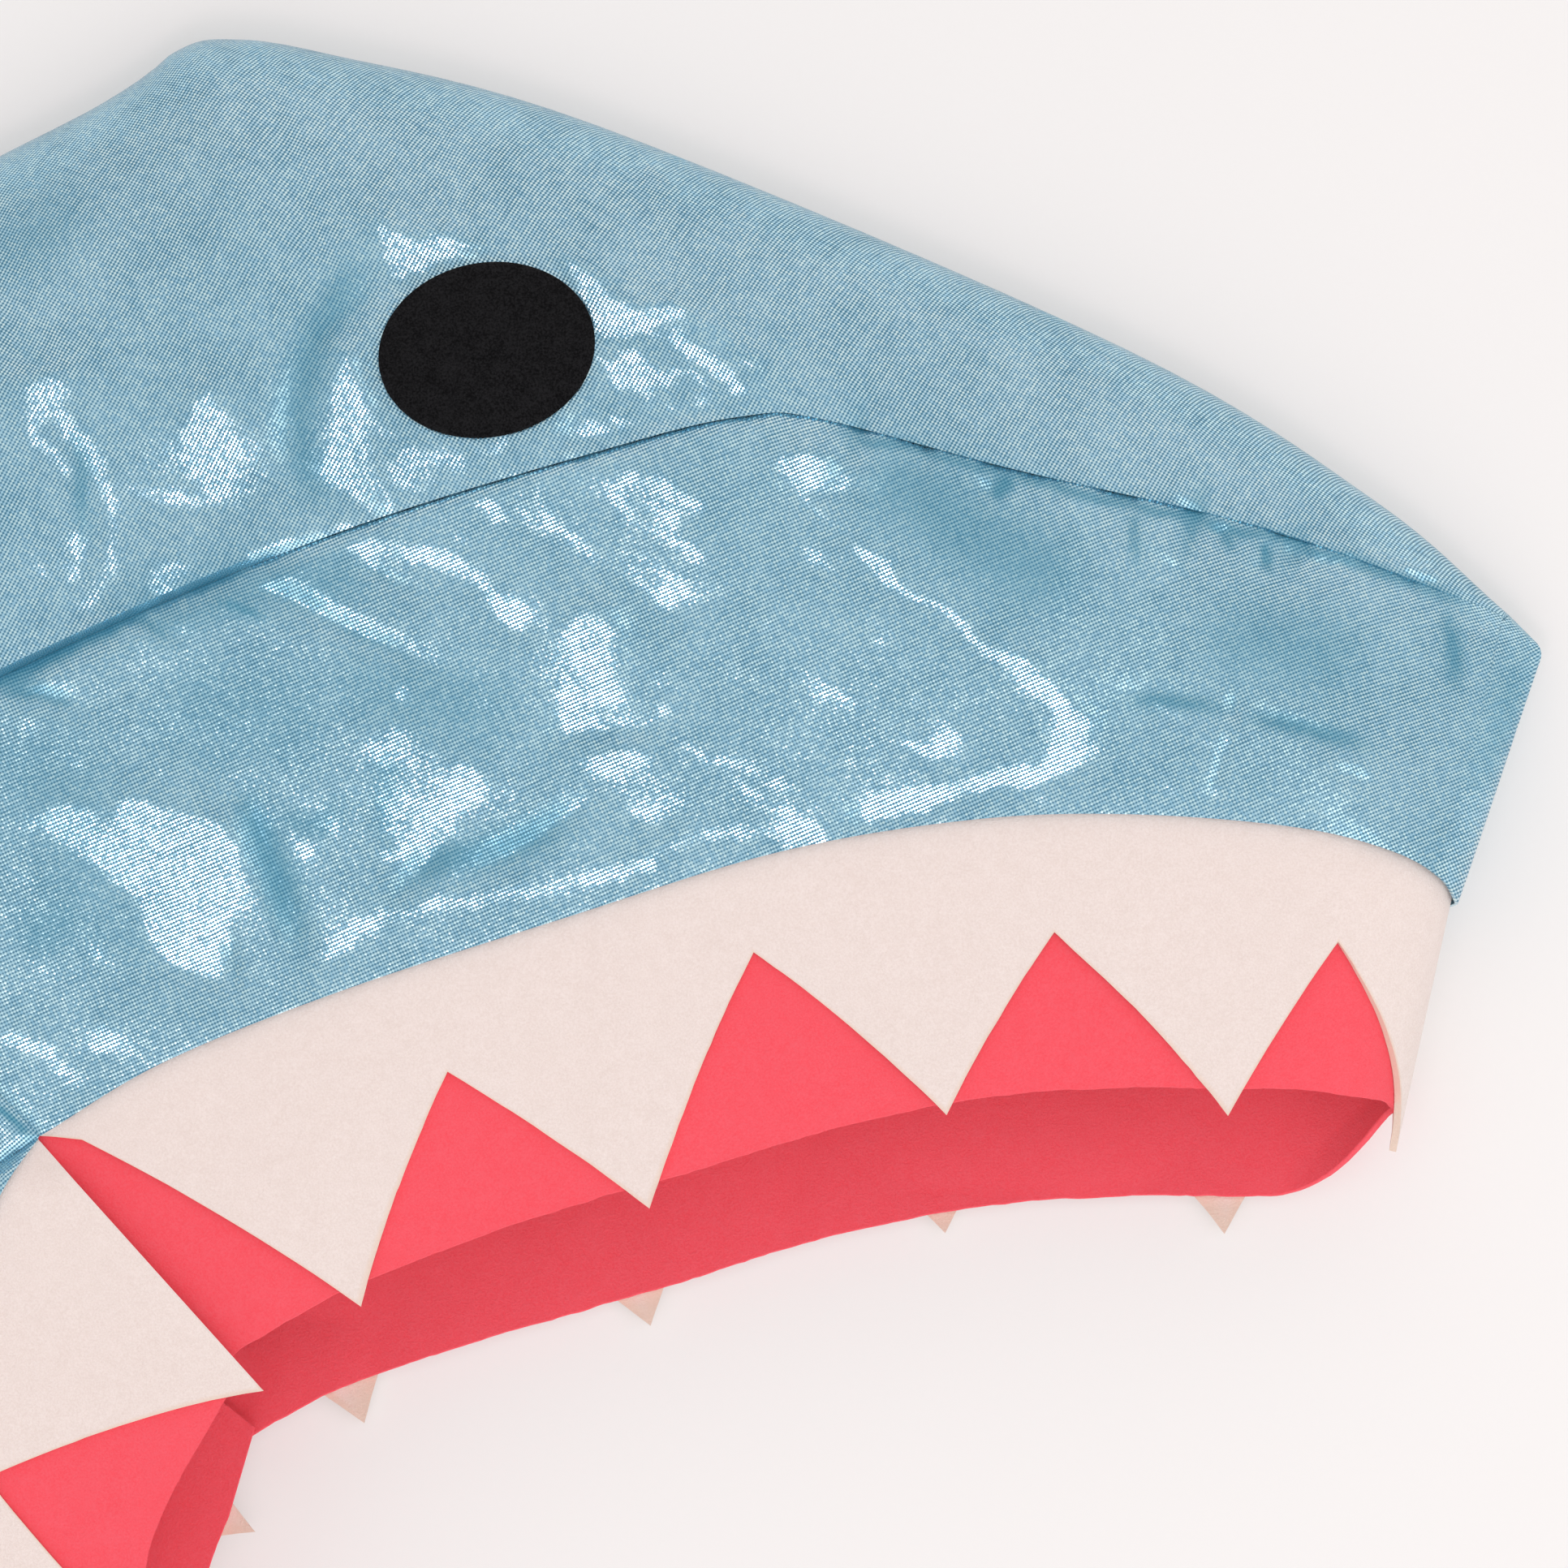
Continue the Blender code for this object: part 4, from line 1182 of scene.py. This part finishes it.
def felt_finish(name, colours, sheen, rim=None, spread_out=0.2):
    """Pressed felt: a mat of short fibres, mottled a little, with a tan tint towards its cut edges, which is
    painted shade where it reaches wide.
    """
    f = Finish(name)
    where = f.place("Object")
    fibre = f.noise(where, 2300.0, 4.0, 0.7)
    blotch = f.noise(where, 330.0, 3.0)
    share = f.math("ADD", f.math("MULTIPLY", fibre, 0.82), f.math("MULTIPLY", blotch, 0.18))
    colour = f.mix(f.ramp(share, 0.5 - spread_out, 0.5 + spread_out), *colours)
    if rim:
        # Tan by the rim value: a narrow edge tint, and painted shade where it reaches wide
        colour = f.mix(f.math("MULTIPLY", f.mark("rim"), 0.7), colour, rim)
    relief = f.math("ADD", fibre, f.math("MULTIPLY", blotch, 0.4))
    f.join(f.shader, {"Base Color": colour, "Roughness": 0.95, "Normal": f.bump(relief, FELT_RELIEF * MM),
                      "Specular IOR Level": 0.15, "Sheen Weight": sheen, "Sheen Roughness": 0.6})
    return f.material


def plain_finish(name, colours, pitch):
    """Plain matt cloth with a fine weave."""
    f = Finish(name)
    where = f.place("Object")
    split = f.parts(where)
    waves = [f.math("SINE", f.math("MULTIPLY", split[k], math.pi / (pitch * MM))) for k in ("X", "Y")]
    weave = f.ramp(f.math("MULTIPLY", *waves), -0.4, 0.6)
    tone = f.math("MULTIPLY", f.noise(where, 90.0, 3.0), 0.6)
    share = f.math("ADD", f.math("MULTIPLY", weave, 0.4), tone)
    f.join(f.shader, {"Base Color": f.mix(share, *colours), "Roughness": 0.85,
                      "Normal": f.bump(weave, LINING_RELIEF * MM), "Specular IOR Level": 0.2})
    return f.material


# Studio

VIEW_CENTRE = CORNER[:2] + np.array((146.6, 69.4)) * MM
VIEW_HEIGHT = 5.0
VIEW_WIDTH = 0.3091
VIEW_LEVEL = 0.045
SENSOR = 36.0
SKY_LEVEL = 0.755
SKY_LEAN = (0.02, 0.10, 0)
SKY_TINT = ((0.985, 0.985, 0.985), (1.12, 1.0, 0.97))
PAPER = ((0.925, 0.905, 0.895), (0.935, 0.918, 0.908))
BACKDROP = (0.93, 0.913, 0.905, 1)
BACKDROP_SHARE = 0.35
FLOOR_HALF = 3.0
# Lamps: size in metres, level, tilt and turn in degrees, distance in metres, colour
LAMPS = {
    "low": (2.4, 0.24, 50, -95, 2.2, (1, 1, 1)),
    "side": (0.8, 0.14, 40, -20, 0.9, (1, 1, 1)),
    "glint": (0.36, 0.075, 18, -105, 1.7, (1.0, 0.8, 0.83)),
}


def add_light(name, size, level, tilt, turn, away, colour):
    """Square lamp aimed at the middle of the view; its level is what a white sheet there would show."""
    lamp = bpy.data.lights.new(name, "AREA")
    lamp.size = size
    lamp.color = colour
    lamp.energy = level * math.pi**2 * away**2
    made = bpy.data.objects.new(name, lamp)
    bpy.context.scene.collection.objects.link(made)
    made.rotation_euler = (0, math.radians(tilt), math.radians(turn))
    side = math.sin(math.radians(tilt)) * direction(turn)
    made.location = (*(VIEW_CENTRE + away * side), away * math.cos(math.radians(tilt)))


def add_sky(scene):
    """Even white light all round, a little stronger and warmer from behind the crown."""
    scene.world = bpy.data.worlds.new("studio")
    sky = Nodes(scene.world)
    where = sky.place("Generated")
    leaning = sky.add("VectorMath", {0: where, 1: SKY_LEAN}, operation="DOT_PRODUCT").outputs["Value"]
    level = sky.math("ADD", leaning, SKY_LEVEL)
    tint = sky.mix(sky.ramp(sky.parts(where)["Y"], 0.1, 0.9), *SKY_TINT)
    sky.join(sky.tree.nodes["Background"], {"Color": tint, "Strength": level})


def add_floor():
    """Pale paper that shows the camera and the cloth part of its own plain colour."""
    corners = FLOOR_HALF * np.array([(-1, -1, 0), (1, -1, 0), (1, 1, 0), (-1, 1, 0)])
    floor = add_mesh("floor", corners, [[0, 1, 2, 3]])
    paper = Finish("paper")
    tone = paper.mix(paper.noise(paper.place("Object"), 700.0, 2.0), *PAPER)
    paper.join(paper.shader, {"Base Color": tone, "Roughness": 0.9, "Specular IOR Level": 0.1})
    rays = paper.add("LightPath", {}).outputs
    seen = paper.math("ADD", rays["Is Glossy Ray"], rays["Is Transmission Ray"])
    seen = paper.math("ADD", rays["Is Camera Ray"], seen)
    share = paper.math("MULTIPLY", paper.math("MINIMUM", seen, 1.0), BACKDROP_SHARE)
    glow = paper.add("Emission", {"Color": BACKDROP, "Strength": 1.0})
    both = paper.add("MixShader", {0: share, 1: paper.shader.outputs[0], 2: glow.outputs[0]})
    paper.join(paper.tree.nodes["Material Output"], {"Surface": both.outputs[0]})
    floor.data.materials.append(paper.material)


def add_studio():
    scene = bpy.context.scene
    scene.view_settings.view_transform = "Standard"
    add_sky(scene)
    for name, settings in LAMPS.items():
        add_light(name, *settings)
    add_floor()
    lens = bpy.data.cameras.new("camera")
    lens.sensor_width = SENSOR
    lens.lens = SENSOR * (VIEW_HEIGHT - VIEW_LEVEL) / VIEW_WIDTH
    camera = bpy.data.objects.new("camera", lens)
    scene.collection.objects.link(camera)
    camera.location = (*VIEW_CENTRE, VIEW_HEIGHT)
    scene.camera = camera


# Everything together

# Columns and rows of each panel, finer on the right half, which lies on top
GRIDS = {
    RIGHT: {"crown": (420, 92), "snout": (310, 92), "cheek": (90, 54), "throat": (80, 54)},
    LEFT: {"crown": (150, 36), "snout": (110, 30), "cheek": (48, 24), "throat": (44, 24)},
}


def build_half(side, finish):
    panels = {
        "crown": (crown_pattern, -1, CROWN_GRAIN),
        "snout": (snout_pattern, 0, SNOUT_GRAIN),
        "cheek": (cheek_pattern, -1, CHEEK_GRAIN),
        "throat": (throat_pattern, 0, CHEEK_GRAIN),
    }
    for name, (pattern, from_row, grain) in panels.items():
        node = f"{name}_panel_{side}"
        cloth_panel(node, pattern(*GRIDS[side][name]), side, from_row, grain, finish["shimmer"])
    strips = {
        "upper_teeth_": (upper_strip(True, side), TEETH_DEPTH, "white", 51),
        "upper_mouth_felt_": (upper_strip(False, side), CORAL_DEPTH, "coral", 52),
        "lower_teeth_": (lower_strip(True, side), TEETH_DEPTH, "white", 53),
        "lower_mouth_felt_": (lower_strip(False, side), CORAL_DEPTH, "coral", 54),
    }
    for name, (pattern, depth, felt, seed) in strips.items():
        felt_strip(name + side, pattern, side, depth, finish[felt], seed)
    eye_piece("eye_" + side, side, finish["black"])
    neck = facing_pattern(RIDGE[0], CHEEK_SEAM_END, LINING_INSET, GAP)
    throat = facing_pattern(CHEEK_SEAM_END, LOWER_LIP[-1], GAP, FACING_STOP)
    linings = {
        "lining_": (inner_pattern(GAP, LINING_NECK), LINING_DEPTH, LINING),
        "neck_facing_": (neck, NECK_DEPTH, FACING),
        "throat_facing_": (throat, THROAT_DEPTH, FACING),
    }
    for name, (pattern, depth, thickness) in linings.items():
        lining_piece(name + side, pattern, side, depth, thickness, finish["lining"])
    wadding_piece("wadding_" + side, side, finish["wadding"])


def main():
    add_studio()
    finish = {
        "shimmer": shimmer_finish(),
        "white": felt_finish("white_felt", WHITE, 0.1, WHITE_EDGE_TAN_AND_SHADE),
        "coral": felt_finish("coral_felt", CORAL, 0.05),
        "black": felt_finish("black_felt", BLACK, 0.005, spread_out=0.12),
        "lining": plain_finish("lining_cloth", LINING_BLUE, LINING_PITCH),
        "wadding": felt_finish("wadding", WADDING_WHITE, 0.2),
    }
    for side in (RIGHT, LEFT):
        build_half(side, finish)


main()
